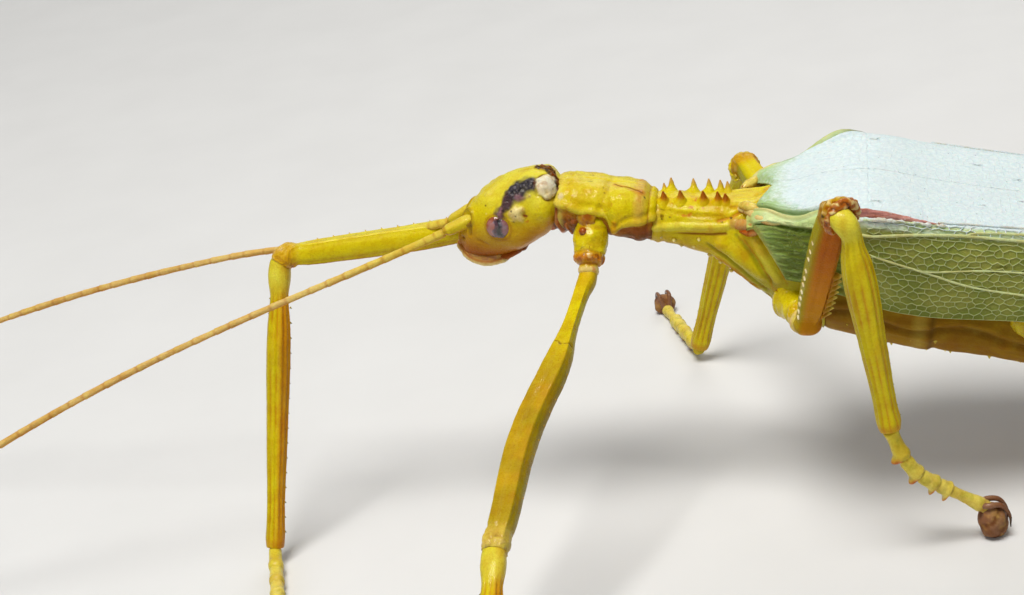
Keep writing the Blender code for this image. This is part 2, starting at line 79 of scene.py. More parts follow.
def linear(text):
    """linear red, green and blue of a hue written as six hex digits"""
    values = np.array([int(text[i:i + 2], 16) / 255 for i in (0, 2, 4)])
    return np.where(values > 0.04045, ((values + 0.055) / 1.055) ** 2.4, values / 12.92)


def vivid(colour, amount=1.08):
    """the colour with its saturation raised, no brighter"""
    middle = colour @ (0.2126, 0.7152, 0.0722)
    return np.clip(middle + (colour - middle) * amount, 0.002, 1)


HUES = {name: vivid(linear(text)) for name, text in HUES.items()}

# ---- numbers over points


def curve(x, stations):
    """smooth value at x through (place, value) stations"""
    places, values = np.array(stations, float).T
    slopes = np.gradient(values, places)
    i = np.clip(np.searchsorted(places, x, side="right") - 1, 0, len(places) - 2)
    span = places[i + 1] - places[i]
    t = np.clip((x - places[i]) / span, 0, 1)
    rise = values[i + 1] - values[i]
    a, b = slopes[i] * span, slopes[i + 1] * span
    return values[i] + t * a + t * t * (3 * rise - 2 * a - b) + t ** 3 * (a + b - 2 * rise)


def step(x, start, end):
    """0 at start, softly up to 1 at end"""
    t = np.clip((x - start) / (end - start), 0, 1)
    return t * t * (3 - 2 * t)


def fade(distance, radius):
    """1 at distance 0, softly down to 0 at the radius"""
    t = np.clip(1 - (distance / radius) ** 2, 0, 1)
    return t * t


def reach(co, *points):
    """distance of every point from a line through points"""
    points = np.array(points, float)
    best = np.linalg.norm(co - points[0], axis=1)
    for a, b in zip(points, points[1:]):
        way = b - a
        t = np.clip((co - a) @ way / (way @ way), 0, 1)
        best = np.minimum(best, np.linalg.norm(co - a - t[:, None] * way, axis=1))
    return best


def noise(co, cell, seed=0, layers=1):
    """soft random values from -1 to 1, varying over about one cell"""
    total, weight = 0.0, 0.0
    for layer in range(layers):
        p = np.asarray(co) / (cell / 2 ** layer) + 97.3
        base = np.floor(p).astype(np.int64)
        part = p - base
        part = part * part * (3 - 2 * part)
        value = 0.0
        for corner in itertools.product((0, 1), repeat=3):
            at = base + corner
            n = at[:, 0] * 374761393 + at[:, 1] * 668265263 + at[:, 2] * 1274126177
            n = (n + (seed + layer) * 974711 + 12345) & 0xFFFFFFFF
            n = ((n ^ (n >> 13)) * 1103515245) & 0xFFFFFFFF
            n = n ^ (n >> 16)
            share = np.prod(np.where(corner, part, 1 - part), axis=1)
            value = value + share * ((n & 0xFFFF) / 32767.5 - 1)
        total = total + value / 2 ** layer
        weight += 1 / 2 ** layer
    return total / weight


def patches(co, cell, seed, start, end):
    """soft random patches, from 0 where the noise is at start to 1 where it is at end"""
    return step(noise(co, cell, seed, 2), start, end)


def lay(colours, mask, hue):
    """lay a named colour over the colours where the mask says"""
    colours += (HUES[hue] - colours) * np.clip(mask, 0, 1)[:, None]


def plain(points, hue):
    """one named colour for every point"""
    return np.tile(HUES[hue], (len(points), 1))


def marks(co, colours, lift, rows):
    """lay spots and lines on the colours and the lift: (points, radius, colour, strength, height)"""
    for points, radius, hue, strength, height in rows:
        spot = fade(reach(co, *points), radius)
        if hue:
            lay(colours, np.clip(spot * 1.7, 0, 1) * strength, hue)
        lift += spot * height


def folded(co):
    """the points with the right side laid over onto the left"""
    return np.stack((co[:, 0], -np.abs(co[:, 1]), co[:, 2]), axis=1)


# ---- surfaces


def coords(bm):
    """the skin's points, one row each"""
    return np.array([v.co[:] for v in bm.verts])


def put(bm, co):
    """move the skin's points"""
    for v, point in zip(bm.verts, co):
        v.co = point


def raise_skin(bm, co, out, lift, floor=None):
    """move the skin outwards by the lift, but not below a floor where one is given -> new points"""
    co = co + out * lift[:, None]
    if floor is not None:
        co[:, 2] = np.maximum(co[:, 2], floor)
    put(bm, co)
    return co


def outward(bm):
    """vertex normals of the skin"""
    bm.normal_update()
    return np.array([v.normal[:] for v in bm.verts])


def skin_of(bm):
    """the skin's points and normals"""
    return coords(bm), outward(bm)


def info(bm):
    """what the skin's makers noted at every vertex"""
    layer = bm.verts.layers.float_vector["skin"]
    return np.array([v[layer][:] for v in bm.verts])


def sheet(rows, columns, shape, closed=True):
    """a grid bent by shape(row number, share across) -> (points, notes)"""
    bm = bmesh.new()
    bmesh.ops.create_grid(bm, x_segments=rows, y_segments=columns, size=0.5)
    flat = coords(bm)
    row = np.rint((flat[:, 0] + 0.5) * rows).astype(int)
    points, notes = shape(row, flat[:, 1] + 0.5)
    layer = bm.verts.layers.float_vector.new("skin")
    for v, point, note in zip(bm.verts, points, notes):
        v.co = point
        v[layer] = note
    if closed:
        bmesh.ops.remove_doubles(bm, verts=bm.verts, dist=WELD)
        bmesh.ops.recalc_face_normals(bm, faces=bm.faces)
    return bm


def ring(angle, power):
    """unit outline at an angle; power 2 is round, more is squarer"""
    c, s = np.cos(angle), np.sin(angle)
    size = (np.abs(c) ** power + np.abs(s) ** power) ** (1 / power)
    return c / size, s / size


def ends(start, stop, pitch, first, last, turns=7):
    """places from start to stop with rounded ends, and how wide each still is"""
    count = max(3, round((stop - start) / pitch))
    quarter = np.linspace(0, math.pi / 2, turns)
    place = np.concatenate((
        start - first * np.cos(quarter[:-1]),
        np.linspace(start, stop, count + 1),
        stop + last * np.sin(quarter[1:]),
    ))
    width = np.concatenate((np.sin(quarter[:-1]), np.ones(count + 1), np.cos(quarter[1:])))
    return place, width


def level(x, stations):
    """value at x on straight lines through (place, value) stations"""
    return np.interp(x, *np.array(stations, float).T)


def hoops_along(start, stop, count, low, high, half):
    """hoops for a trunk, spaced evenly along three lists of stations"""
    stations = np.linspace(start, stop, count)
    return [(x, level(x, low), level(x, high), level(x, half)) for x in stations]


def trunk(hoops, pitch, columns, power=2.3, first=0.3, last=0.3, turns=7):
    """closed skin over body hoops (x, low, high, half width)"""
    hoops = np.array(hoops, float)
    x, width = ends(hoops[0, 0], hoops[-1, 0], pitch * COARSE, first, last, turns)
    inner = np.clip(x, hoops[0, 0], hoops[-1, 0])
    low, high, half = (curve(inner, hoops[:, (0, k)]) for k in (1, 2, 3))

    def shape(row, share):
        angle = 2 * math.pi * share - math.pi / 2
        c, s = ring(angle, power)
        middle = (low + high)[row] / 2
        y = half[row] * width[row] * c
        z = middle + (high - low)[row] / 2 * width[row] * s
        return np.stack((x[row], y, z), axis=1), np.stack((x[row], angle, width[row]), axis=1)

    return sheet(len(x) - 1, round(columns / COARSE), shape)


def unit(vectors):
    """the vectors at length 1"""
    return vectors / np.maximum(np.linalg.norm(vectors, axis=-1, keepdims=True), 1e-9)


def run_length(points):
    """length of a line through points"""
    return sum(np.linalg.norm(b - a) for a, b in zip(points, points[1:]))


def limb(path, wide, high, columns=32, pitch=0.12, top=UP, power=2.0, caps=(0.2, 0.2), shape=None, turns=7):
    """closed tube along a path; wide and high are (share, half size) stations

    shape(mm along, share along, angle round) may add to the half sizes.
    """
    path = np.array(path, float)
    chord = np.concatenate(([0], np.cumsum(np.linalg.norm(np.diff(path, axis=0), axis=1))))
    length = chord[-1]
    place, width = ends(0, length, pitch * COARSE, *caps, turns)
    inner = np.clip(place, 0, length)

    def centre(s):
        return np.stack([curve(s, np.stack((chord, path[:, k]), axis=1)) for k in range(3)], axis=1)

    nudge = length * 0.004
    along = unit(centre(np.minimum(inner + nudge, length)) - centre(np.maximum(inner - nudge, 0)))
    middle = centre(inner) + along * (place - inner)[:, None]
    side = unit(np.cross(top, along))
    crest = np.cross(along, side)
    share = inner / length
    half_wide, half_high = curve(share, wide), curve(share, high)

    def bend(row, part):
        angle = 2 * math.pi * part - math.pi / 2
        c, s = ring(angle, power)
        extra = shape(place[row], share[row], angle) if shape else 0
        a = (half_wide[row] * c + extra * np.cos(angle)) * width[row]
        b = (half_high[row] * s + extra * np.sin(angle)) * width[row]
        points = middle[row] + side[row] * a[:, None] + crest[row] * b[:, None]
        return points, np.stack((place[row], angle, share[row]), axis=1)

    return sheet(len(place) - 1, max(6, round(columns / COARSE)), bend)


def ball(centre, radii, turns=48):
    """a round lump with three radii"""
    bm = bmesh.new()
    segments = round(turns / COARSE)
    bmesh.ops.create_uvsphere(bm, u_segments=segments, v_segments=segments // 2, radius=1)
    bmesh.ops.scale(bm, vec=radii, verts=bm.verts)
    bmesh.ops.translate(bm, vec=centre, verts=bm.verts)
    layer = bm.verts.layers.float_vector.new("skin")
    for v in bm.verts:
        v[layer] = v.co
    return bm


def hump(angle, at, width):
    """smooth ridge profile around a limb, 1 at the given angle"""
    turn = (angle - at + math.pi) % (2 * math.pi) - math.pi
    return np.exp(-(turn / width) ** 2)


def tone(bm, colours):
    """paint the skin's points"""
    layer = bm.verts.layers.float_color.new("paint")
    for v, hue in zip(bm.verts, colours):
        v[layer] = (*hue, 1)
    return bm


def join(parts):
    """several painted skins as one"""
    whole = parts[0]
    for part in parts[1:]:
        carrier = bpy.data.meshes.new("carrier")
        part.to_mesh(carrier)
        whole.from_mesh(carrier)
        part.free()
        bpy.data.meshes.remove(carrier)
    return whole


def piece(name, bm, material, nodes=(), colours=None, place=model_from_body):
    """turn a skin into a named piece of the insect"""
    if colours is not None:
        tone(bm, colours)
    bmesh.ops.transform(bm, matrix=place, verts=bm.verts)
    mesh = bpy.data.meshes.new(name)
    bm.to_mesh(mesh)
    bm.free()
    mesh.shade_smooth()
    mesh.materials.append(material)
    thing = bpy.data.objects.new(name, mesh)
    bpy.context.scene.collection.objects.link(thing)
    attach(thing, "root")
    if nodes:
        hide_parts(*([nodes] if isinstance(nodes, str) else nodes))


# ---- materials


def node(tree, kind, inputs=None, **settings):
    """a shader node with its inputs linked or set"""
    made = tree.nodes.new("ShaderNode" + kind)
    for key, value in settings.items():
        setattr(made, key, value)
    for key, value in (inputs or {}).items():
        if isinstance(value, bpy.types.NodeSocket):
            tree.links.new(value, made.inputs[key])
        else:
            made.inputs[key].default_value = value
    return made


def calc(tree, operation, a, b=0.0, clamp=False):
    """any step of arithmetic on two shader values"""
    return node(tree, "Math", {0: a, 1: b}, operation=operation, use_clamp=clamp).outputs[0]


def times(tree, a, b):
    """product of two shader values"""
    return calc(tree, "MULTIPLY", a, b)


def plus(tree, a, b, clamp=False):
    """sum of two shader values"""
    return calc(tree, "ADD", a, b, clamp)


def between(tree, value, low, high, to_low=0.0, to_high=1.0):
    """value spread from low..high to new ends, softly"""
    ends_in = {"Value": value, "From Min": low, "From Max": high, "To Min": to_low, "To Max": to_high}
    return node(tree, "MapRange", ends_in, interpolation_type="SMOOTHSTEP").outputs[0]


def tint(tree, share, a, b, blend="MIX"):
    """from colour a to colour b by share; a name stands for its hue"""
    a, b = ((*HUES[c], 1) if isinstance(c, str) else c for c in (a, b))
    return node(tree, "Mix", {0: share, 6: a, 7: b}, data_type="RGBA", blend_type=blend).outputs[2]


def speckle(tree, place, scale, size, chance):
    """small round spots on a random few of the cells"""
    cells = node(tree, "TexVoronoi", {"Vector": place, "Scale": scale})
    spot = between(tree, cells.outputs["Distance"], size, size * 0.5)
    pick = node(tree, "SeparateColor", {0: cells.outputs["Color"]}).outputs[0]
    return times(tree, spot, calc(tree, "LESS_THAN", pick, chance))


def new_group(name, takes, gives):
    """an empty node group -> (its tree, its inputs, a function that links one of its outputs)"""
    tree = bpy.data.node_groups.new(name, "ShaderNodeTree")
    for label, kind, value in takes:
        socket = tree.interface.new_socket(label, in_out="INPUT", socket_type="NodeSocket" + kind)
        if value is not None:
            socket.default_value = value
    for label, kind in gives:
        tree.interface.new_socket(label, in_out="OUTPUT", socket_type="NodeSocket" + kind)
    start = tree.nodes.new("NodeGroupInput").outputs
    stop = tree.nodes.new("NodeGroupOutput").inputs
    return tree, start, lambda label, socket: tree.links.new(socket, stop[label])


# what each look group gives
LOOK = (("Color", "Color"), ("Roughness", "Float"), ("Height", "Float"))


def shell_group():
    """waxy insect shell: cloudy pigment, fine grain, pores and a dull waxy film"""
    takes = (("Place", "Vector", None), ("Hue", "Color", None), ("Cloud", "Float", 0.5),
             ("Pores", "Float", 0.3), ("Gloss", "Float", 0.4))
    tree, get, give = new_group("shell look", takes, LOOK)
    place = get["Place"]
    cloud = node(tree, "TexNoise", {"Vector": place, "Scale": 0.9, "Detail": 5, "Roughness": 0.6})
    fine = node(tree, "TexNoise", {"Vector": place, "Scale": 7.0, "Detail": 4, "Roughness": 0.65})
    grain = node(tree, "TexVoronoi", {"Vector": place, "Scale": 9.0}, feature="SMOOTH_F1")
    dark = tint(tree, 1.0, get["Hue"], (0.80, 0.62, 0.42, 1), "MULTIPLY")
    warm = tint(tree, 1.0, get["Hue"], (0.93, 0.74, 0.4, 1), "MULTIPLY")
    pale = tint(tree, 0.14, get["Hue"], "straw")
    broad = node(tree, "TexNoise", {"Vector": place, "Scale": 0.42, "Detail": 3, "Roughness": 0.55})
    low = times(tree, between(tree, cloud.outputs[0], 0.56, 0.34), get["Cloud"])
    high = times(tree, between(tree, cloud.outputs[0], 0.52, 0.72), get["Cloud"])
    blush = times(tree, between(tree, broad.outputs[0], 0.5, 0.68), get["Cloud"])
    hue = tint(tree, blush, get["Hue"], warm)
    hue = tint(tree, high, tint(tree, low, hue, dark), pale)
    small = times(tree, between(tree, fine.outputs[0], 0.6, 0.36), 0.35)
    hue = tint(tree, small, hue, dark)
    pores = times(tree, speckle(tree, place, 2.6, 0.13, 0.22), get["Pores"])
    hue = tint(tree, pores, hue, "brown")
    give("Color", hue)
    rough = plus(tree, get["Gloss"], between(tree, fine.outputs[0], 0.3, 0.7, -0.06, 0.14))
    give("Roughness", plus(tree, rough, times(tree, high, 0.12), clamp=True))
    height = times(tree, grain.outputs[0], 0.5)
    height = plus(tree, height, times(tree, fine.outputs[0], 0.9))
    give("Height", calc(tree, "SUBTRACT", height, pores))
    return tree


def wing_group():
    """leathery forewing: pale waxy coat with a painted sky sheen above, green below, veins with painted shade
    in the gullies beside them, streaks and specks
    """
    takes = (("Place", "Vector", None), ("Hue", "Color", None), ("Vein", "Float", 0.0),
             ("Bloom", "Float", 0.0), ("Streaks", "Float", 0.0))
    tree, get, give = new_group("wing look", takes, LOOK)
    place = get["Place"]
    fine = node(tree, "TexNoise", {"Vector": place, "Scale": 3.5, "Detail": 5, "Roughness": 0.65})
    cloud = node(tree, "TexNoise", {"Vector": place, "Scale": 0.5, "Detail": 3})
    ragged = times(tree, calc(tree, "SUBTRACT", fine.outputs[0], 0.5), 0.5)
    bloom = between(tree, plus(tree, get["Bloom"], ragged), 0.34, 0.7)
    long = node(tree, "VectorMath", {0: place, 1: (0.22, 1, 1)}, operation="MULTIPLY").outputs[0]
    waves = node(tree, "TexNoise", {"Vector": long, "Scale": 5.0, "Detail": 3, "Distortion": 0.6})
    streak = times(tree, between(tree, waves.outputs[0], 0.52, 0.62), get["Streaks"])
    gullies = times(tree, between(tree, waves.outputs[0], 0.46, 0.36), get["Streaks"])
    hue = tint(tree, 1.0, get["Hue"], (0.72, 0.80, 0.62, 1), "MULTIPLY")
    hue = tint(tree, between(tree, cloud.outputs[0], 0.35, 0.65), hue, get["Hue"])
    hue = tint(tree, times(tree, streak, 0.2), hue, "leaf_pale")
    hue = tint(tree, times(tree, gullies, 0.3), hue, "leaf_dark")
    hue = tint(tree, get["Vein"], hue, "vein")
    # negative vein values darken the gullies beside the veins as painted shade
    hue = tint(tree, calc(tree, "MULTIPLY", get["Vein"], -0.5, True), hue, "leaf_dark")
    grey = tint(tree, between(tree, fine.outputs[0], 0.35, 0.7), "wing_white", "white")
    net = node(tree, "TexVoronoi", {"Vector": place, "Scale": 1.5}, feature="DISTANCE_TO_EDGE")
    thread = between(tree, net.outputs[0], 0.06, 0.0)
    grey = tint(tree, times(tree, thread, 0.3), grey, "white")
    hue = tint(tree, times(tree, bloom, 0.93), hue, grey)
    dots = calc(tree, "MAXIMUM", speckle(tree, place, 1.6, 0.10, 0.35), speckle(tree, place, 3.7, 0.12, 0.16))
    hue = tint(tree, times(tree, dots, 0.75), hue, "grey")
    give("Color", hue)
    give("Roughness", plus(tree, times(tree, bloom, 0.1), 0.48))
    height = times(tree, fine.outputs[0], 0.6)
    height = plus(tree, height, times(tree, streak, 1.3))
    height = plus(tree, height, times(tree, thread, 0.35))
    give("Height", calc(tree, "SUBTRACT", height, times(tree, dots, 0.5)))
    return tree


SHELL = shell_group()
WING = wing_group()


def material(name, look, inputs, bump=0.03, attributes=(), **surface):
    """a material that feeds a look group with the painted colour and the place in mm"""
    made = bpy.data.materials.new(name)
    made.use_nodes = True
    tree = made.node_tree
    principled = tree.nodes["Principled BSDF"]
    spot = node(tree, "TexCoord").outputs["Object"]
    place = node(tree, "VectorMath", {0: spot, 3: 1 / MM}, operation="SCALE").outputs[0]
    group = tree.nodes.new("ShaderNodeGroup")
    group.node_tree = look
    tree.links.new(place, group.inputs["Place"])
    if "Hue" not in inputs:
        paint = node(tree, "Attribute", attribute_name="paint").outputs["Color"]
        tree.links.new(paint, group.inputs["Hue"])
    for label in attributes:
        value = node(tree, "Attribute", attribute_name=label.lower()).outputs["Fac"]
        tree.links.new(value, group.inputs[label])
    for label, value in inputs.items():
        group.inputs[label].default_value = value
    tree.links.new(group.outputs["Color"], principled.inputs["Base Color"])
    tree.links.new(group.outputs["Roughness"], principled.inputs["Roughness"])
    relief = {"Height": group.outputs["Height"], "Distance": bump * MM, "Strength": 1.0}
    tree.links.new(node(tree, "Bump", relief).outputs[0], principled.inputs["Normal"])
    for label, value in surface.items():
        principled.inputs[label.replace("_", " ")].default_value = value
    return made


SOFT = dict(Subsurface_Weight=0.15, Subsurface_Radius=(1.0, 0.6, 0.2), Subsurface_Scale=0.35 * MM,
            Specular_IOR_Level=0.16, Specular_Tint=(1, 0.85, 0.45, 1))
shell = material("shell", SHELL, {"Cloud": 0.55, "Pores": 0.35, "Gloss": 0.3}, 0.05, Coat_Weight=0.14,
                 Coat_Roughness=0.12, **SOFT)
horn = material("horn", SHELL, {"Cloud": 0.2, "Pores": 0.3, "Gloss": 0.34}, 0.05, Coat_Weight=0.04,
                Coat_Roughness=0.12, **{**SOFT, "Specular_IOR_Level": 0.08})
wet = material("wet shell", SHELL, {"Cloud": 0.3, "Pores": 0.1, "Gloss": 0.26}, 0.035, Coat_Weight=0.4,
               Coat_Roughness=0.1, **SOFT)
dull = material("dull shell", SHELL, {"Cloud": 0.6, "Pores": 0.3, "Gloss": 0.5}, 0.035, **SOFT)
eye_glass = material("eye", SHELL, {"Cloud": 0.25, "Pores": 0.0, "Gloss": 0.12}, 0.012,
                     Coat_Weight=0.8, Coat_Roughness=0.06)
wing_skin = material("wing", WING, {}, 0.05, ("Vein", "Bloom", "Streaks"), Subsurface_Weight=0.1,
                     Subsurface_Scale=0.3 * MM, Specular_IOR_Level=0.25)


# ---- head

# outline of the head from the face to the nape: place, lowest and highest point, half width
HEAD_HOOPS = (
    (-3.6, 3.9, 6.1, 0.95), (-3.2, 3.45, 7.1, 1.5), (-2.5, 3.3, 8.05, 1.95), (-1.6, 3.4, 8.9, 2.3),
    (-0.4, 3.75, 9.7, 2.6), (0.9, 4.35, 10.2, 2.74), (2.0, 5.1, 10.4, 2.7),
    (2.9, 5.8, 10.3, 2.45), (3.4, 6.4, 9.75, 1.9),
)
# middle and radii of the left eye, and the root of the left feeler
EYE = np.array((-0.6, -2.3, 6.65))
EYE_RADII = (0.96, 0.6, 0.92)
SCAPE = np.array((-2.55, -1.1, 6.7))


def head():
    """egg-shaped head with brows, sockets and cheeks, and an old scar over the left eye"""
    bm = trunk(HEAD_HOOPS, 0.07, 260, 2.3, 0.3, 0.12, 9)
    co, out = skin_of(bm)
    near, lift = folded(co), np.zeros(len(co))
    left = co[:, 1] < 0.4
    colours = plain(co, "yellow")
    # paler towards the crown is painted light from above; ochre, sienna and brown towards the bottom are
    # painted shade on the underside
    lay(colours, step(co[:, 2], 7.4, 9.8) * 0.75, "pale_yellow")
    lay(colours, step(co[:, 2], 7.8, 5.4) * 0.85, "ochre")
    lay(colours, step(co[:, 2], 5.8, 4.1) * 0.9, "sienna")
    lay(colours, step(co[:, 2], 4.6, 3.6) * 0.6, "brown")
    lay(colours, step(co[:, 0], -0.6, 2.2) * step(co[:, 2], 8.4, 6.4) * 0.5, "amber")
    shapes = [
        # brow over the feelers, rim of the eye, cheek, back bulges
        ([(-2.2, -1.0, 8.3), (-1.4, -1.6, 8.3)], 0.7, "pale_yellow", 0.3, 0.12),
        ([(-1.44, -1.17, 8.59), (-0.9, -0.9, 9.0)], 0.42, "straw", 0.5, 0.14),
        ([EYE + (0, 0.2, 0)], 1.55, "ochre", 0.25, 0.18),
        ([(0.9, -2.5, 5.6)], 1.5, None, 0, 0.2),
        ([(2.55, -2.1, 8.05)], 1.15, "yellow", 0.5, 0.26),
        ([(2.2, -2.2, 8.7)], 0.6, "pale_yellow", 0.6, 0.05),
        ([(2.9, -1.9, 7.3)], 0.8, "amber", 0.55, 0.05),
        ([(-2.8, -1.5, 7.6), (-2.78, -1.65, 6.93), (-2.75, -1.75, 5.7)], 0.22, "brown", 0.55, -0.16),
        ([(-2.2, -2.0, 5.4), (-1.0, -2.5, 4.9), (0.6, -2.6, 5.0), (1.9, -2.4, 5.9)], 0.2, "rust", 0.3, -0.07),
        ([(-3.3, -0.2, 5.6), (-3.3, -1.3, 5.2)], 0.22, "brown", 0.6, -0.12),
        ([(0.1, -0.02, 10.2), (2.6, -0.02, 10.3)], 0.16, "ochre", 0.3, -0.06),
    ]
    marks(near, colours, lift, shapes)
    # the sockets of eyes and feelers
    lift -= 0.45 * fade(reach(near, EYE + (0, -0.4, 0)), 0.95)
    socket = reach(near, SCAPE + (-0.3, 0, 0))
    lift += 0.22 * fade(np.abs(socket - 0.62), 0.22) - 0.3 * fade(socket, 0.55)
    lay(colours, fade(np.abs(socket - 0.62), 0.2) * 0.5, "brown")
    lay(colours, fade(np.abs(reach(near, EYE) - 1.0), 0.16) * 0.45, "rust")
    # old scar from the top of the left eye to the crown, with its swollen blister
    torn = co + 0.22 * np.stack([noise(co, 0.42, seed, 2) for seed in (31, 32, 33)], axis=1)
    held, scarred = lift.copy(), colours.copy()
    marks(torn, scarred, held, [
        ([(0.5, -2.3, 8.6), (1.3, -2.2, 8.9), (2.0, -2.0, 9.0), (2.6, -1.9, 8.8)], 0.4, "straw", 0.4, 0.05),
        ([(2.55, -2.15, 8.1)], 1.05, "yellow", 0.3, 0.16),
        ([(0.72, -2.6, 7.85)], 0.75, "cream", 1.0, 0.34),
        ([(-0.4, -2.4, 7.75), (-0.25, -2.34, 8.13), (0.1, -2.2, 8.6)], 0.66, "plum", 0.95, 0.14),
        ([(-0.45, -2.5, 7.6), (-0.4, -2.4, 8.0)], 0.36, "mauve", 0.9, 0.1),
        ([(0.1, -2.2, 8.6), (0.22, -2.1, 8.83), (0.55, -1.88, 9.3)], 0.72, "plum", 0.95, 0.12),
        ([(0.7, -1.9, 9.25), (1.2, -1.7, 9.5), (1.6, -1.6, 9.65)], 1.0, "slate", 1.0, 0.12),
        ([(0.9, -2.3, 8.95), (1.5, -2.15, 9.0), (1.9, -2.0, 9.0)], 0.4, "mauve", 0.75, 0.12),
        ([(1.2, -2.3, 8.85), (1.3, -2.57, 8.16), (1.45, -2.65, 7.42)], 0.15, "rust", 1.0, -0.14),
        ([(3.3, -0.7, 9.7), (3.45, -1.2, 9.0), (3.45, -1.6, 8.2)], 0.22, "umber", 0.9, -0.08),
    ])
    marks(co, scarred, held, [
        # pits on the blistered skin and the brow
        ([(0.36, -2.6, 8.05)], 0.1, "umber", 1.0, -0.08), ([(0.7, -2.68, 7.75)], 0.09, "umber", 1.0, -0.08),
        ([(0.52, -2.68, 7.25)], 0.1, "umber", 1.0, -0.08), ([(-1.6, -1.8, 7.98)], 0.11, "brown", 1.0, -0.08),
        ([(-1.53, -2.08, 7.5)], 0.12, "straw", 1.0, 0.03),
    ])
    blister = reach(torn, (2.65, -1.45, 9.5))
    rim = fade(np.abs(blister - 0.98), 0.17)
    lay(scarred, rim * step(noise(co, 0.5, 51), -0.5, 0.3), "brown")
    lay(scarred, step(blister, 0.98, 0.8) * 0.92, "ivory")
    lay(scarred, step(blister, 0.9, 0.5) * 0.5, "white")
    lay(scarred, step(blister, 0.98, 0.8) * fade(noise(co, 0.7, 52, 2), 0.05) * 0.4, "sienna")
    lay(scarred, step(blister, 0.98, 0.5) * step(co[:, 2], 9.4, 8.8) * 0.55, "straw")
    held += 0.4 * fade(blister, 1.15) - 0.08 * rim
    scar = fade(reach(torn, (-0.3, -2.4, 7.9), (0.1, -2.2, 8.6), (0.6, -1.88, 9.3), (1.24, -1.6, 9.62),
                      (2.0, -1.45, 9.8)), 0.6)
    wrinkle = noise(co * (1, 1, 1.5), 0.2, 5, 2)
    held += scar * wrinkle * 0.22
    # on the scar, grey on the raised wrinkles is painted highlight, and black deepens the scar's own dark in
    # the low ones as painted shade
    lay(scarred, scar * step(wrinkle, 0.22, 0.5) * 0.6, "fog")
    lay(scarred, scar * step(wrinkle, -0.12, -0.4) * 0.85, "black")
    crown = reach(torn, (2.1, 0.1, 10.3), (2.7, -0.2, 10.2), (3.15, -0.6, 9.85), (3.4, -1.1, 9.1))
    crown = step(crown, 0.62, 0.4)
    crust = noise(co, 0.2, 15, 2)
    held += crown * (0.08 + crust * 0.16)
    lay(scarred, crown * 0.95, "brown")
    lay(scarred, crown * step(crust, 0.1, -0.3) * 0.9, "black")
    lay(scarred, crown * step(crust, 0.25, 0.55) * 0.8, "rust")
    beads = fade(reach(co, (1.2, -2.35, 8.85), (1.3, -2.6, 8.16), (1.45, -2.68, 7.42)), 0.3)
    lay(scarred, beads * step(noise(co, 0.2, 9), 0.2, 0.5) * 0.8, "orange")
    colours[left], lift[left] = scarred[left], held[left]
    lift += 0.02 * noise(co, 0.5, 3, 2) + 0.05 * noise(co, 1.4, 4)
    raise_skin(bm, co, out, lift)
    piece("head_shell", bm, shell, "head", colours)


def eyes():
    """clouded purple eyes with a dark zigzag bar"""
    for name, side in SIDES:
        centre = EYE * (1, -side, 1)
        bm = ball(centre, EYE_RADII, 110)
        co, out = skin_of(bm)
        q, z = (co[:, 0] - centre[0]) / EYE_RADII[0], (co[:, 2] - centre[2]) / EYE_RADII[2]
        colours = plain(co, "mauve")
        lay(colours, step(q, -0.1, -0.6) * 0.55, "pink")
        lay(colours, patches(co, 0.4, 41, -0.4, 0.4) * 0.6, "rust")
        lay(colours, step(q, 0.5, 0.9) * 0.4, "rose")
        cloudy = noise(co, 0.3, 12, 2)
        zigzag = q - 0.1 + 0.34 * np.abs((z * 1.15 + 0.15) % 1 - 0.5) + 0.14 * cloudy
        lay(colours, step(np.abs(zigzag), 0.42, 0.24) * 0.96, "plum")
        lay(colours, step(np.abs(zigzag - 0.05), 0.22, 0.08), "black")
        lay(colours, step(z + 0.12 * cloudy, -0.45, -0.8), "umber")
        lay(colours, step(np.hypot(q, z) + 0.16 * cloudy, 0.72, 0.92) * 0.85, "rust")
        lay(colours, step(np.hypot(q, z) + 0.2 * cloudy, 0.92, 1.05) * 0.6, "ochre")
        lay(colours, step(cloudy, 0.2, 0.6) * 0.3, "fog")
        raise_skin(bm, co, out, 0.035 * cloudy - 0.05 * step(np.abs(zigzag), 0.3, 0.1))
        piece(f"eye_glass_{name}", bm, eye_glass, f"eye_{name}", colours)


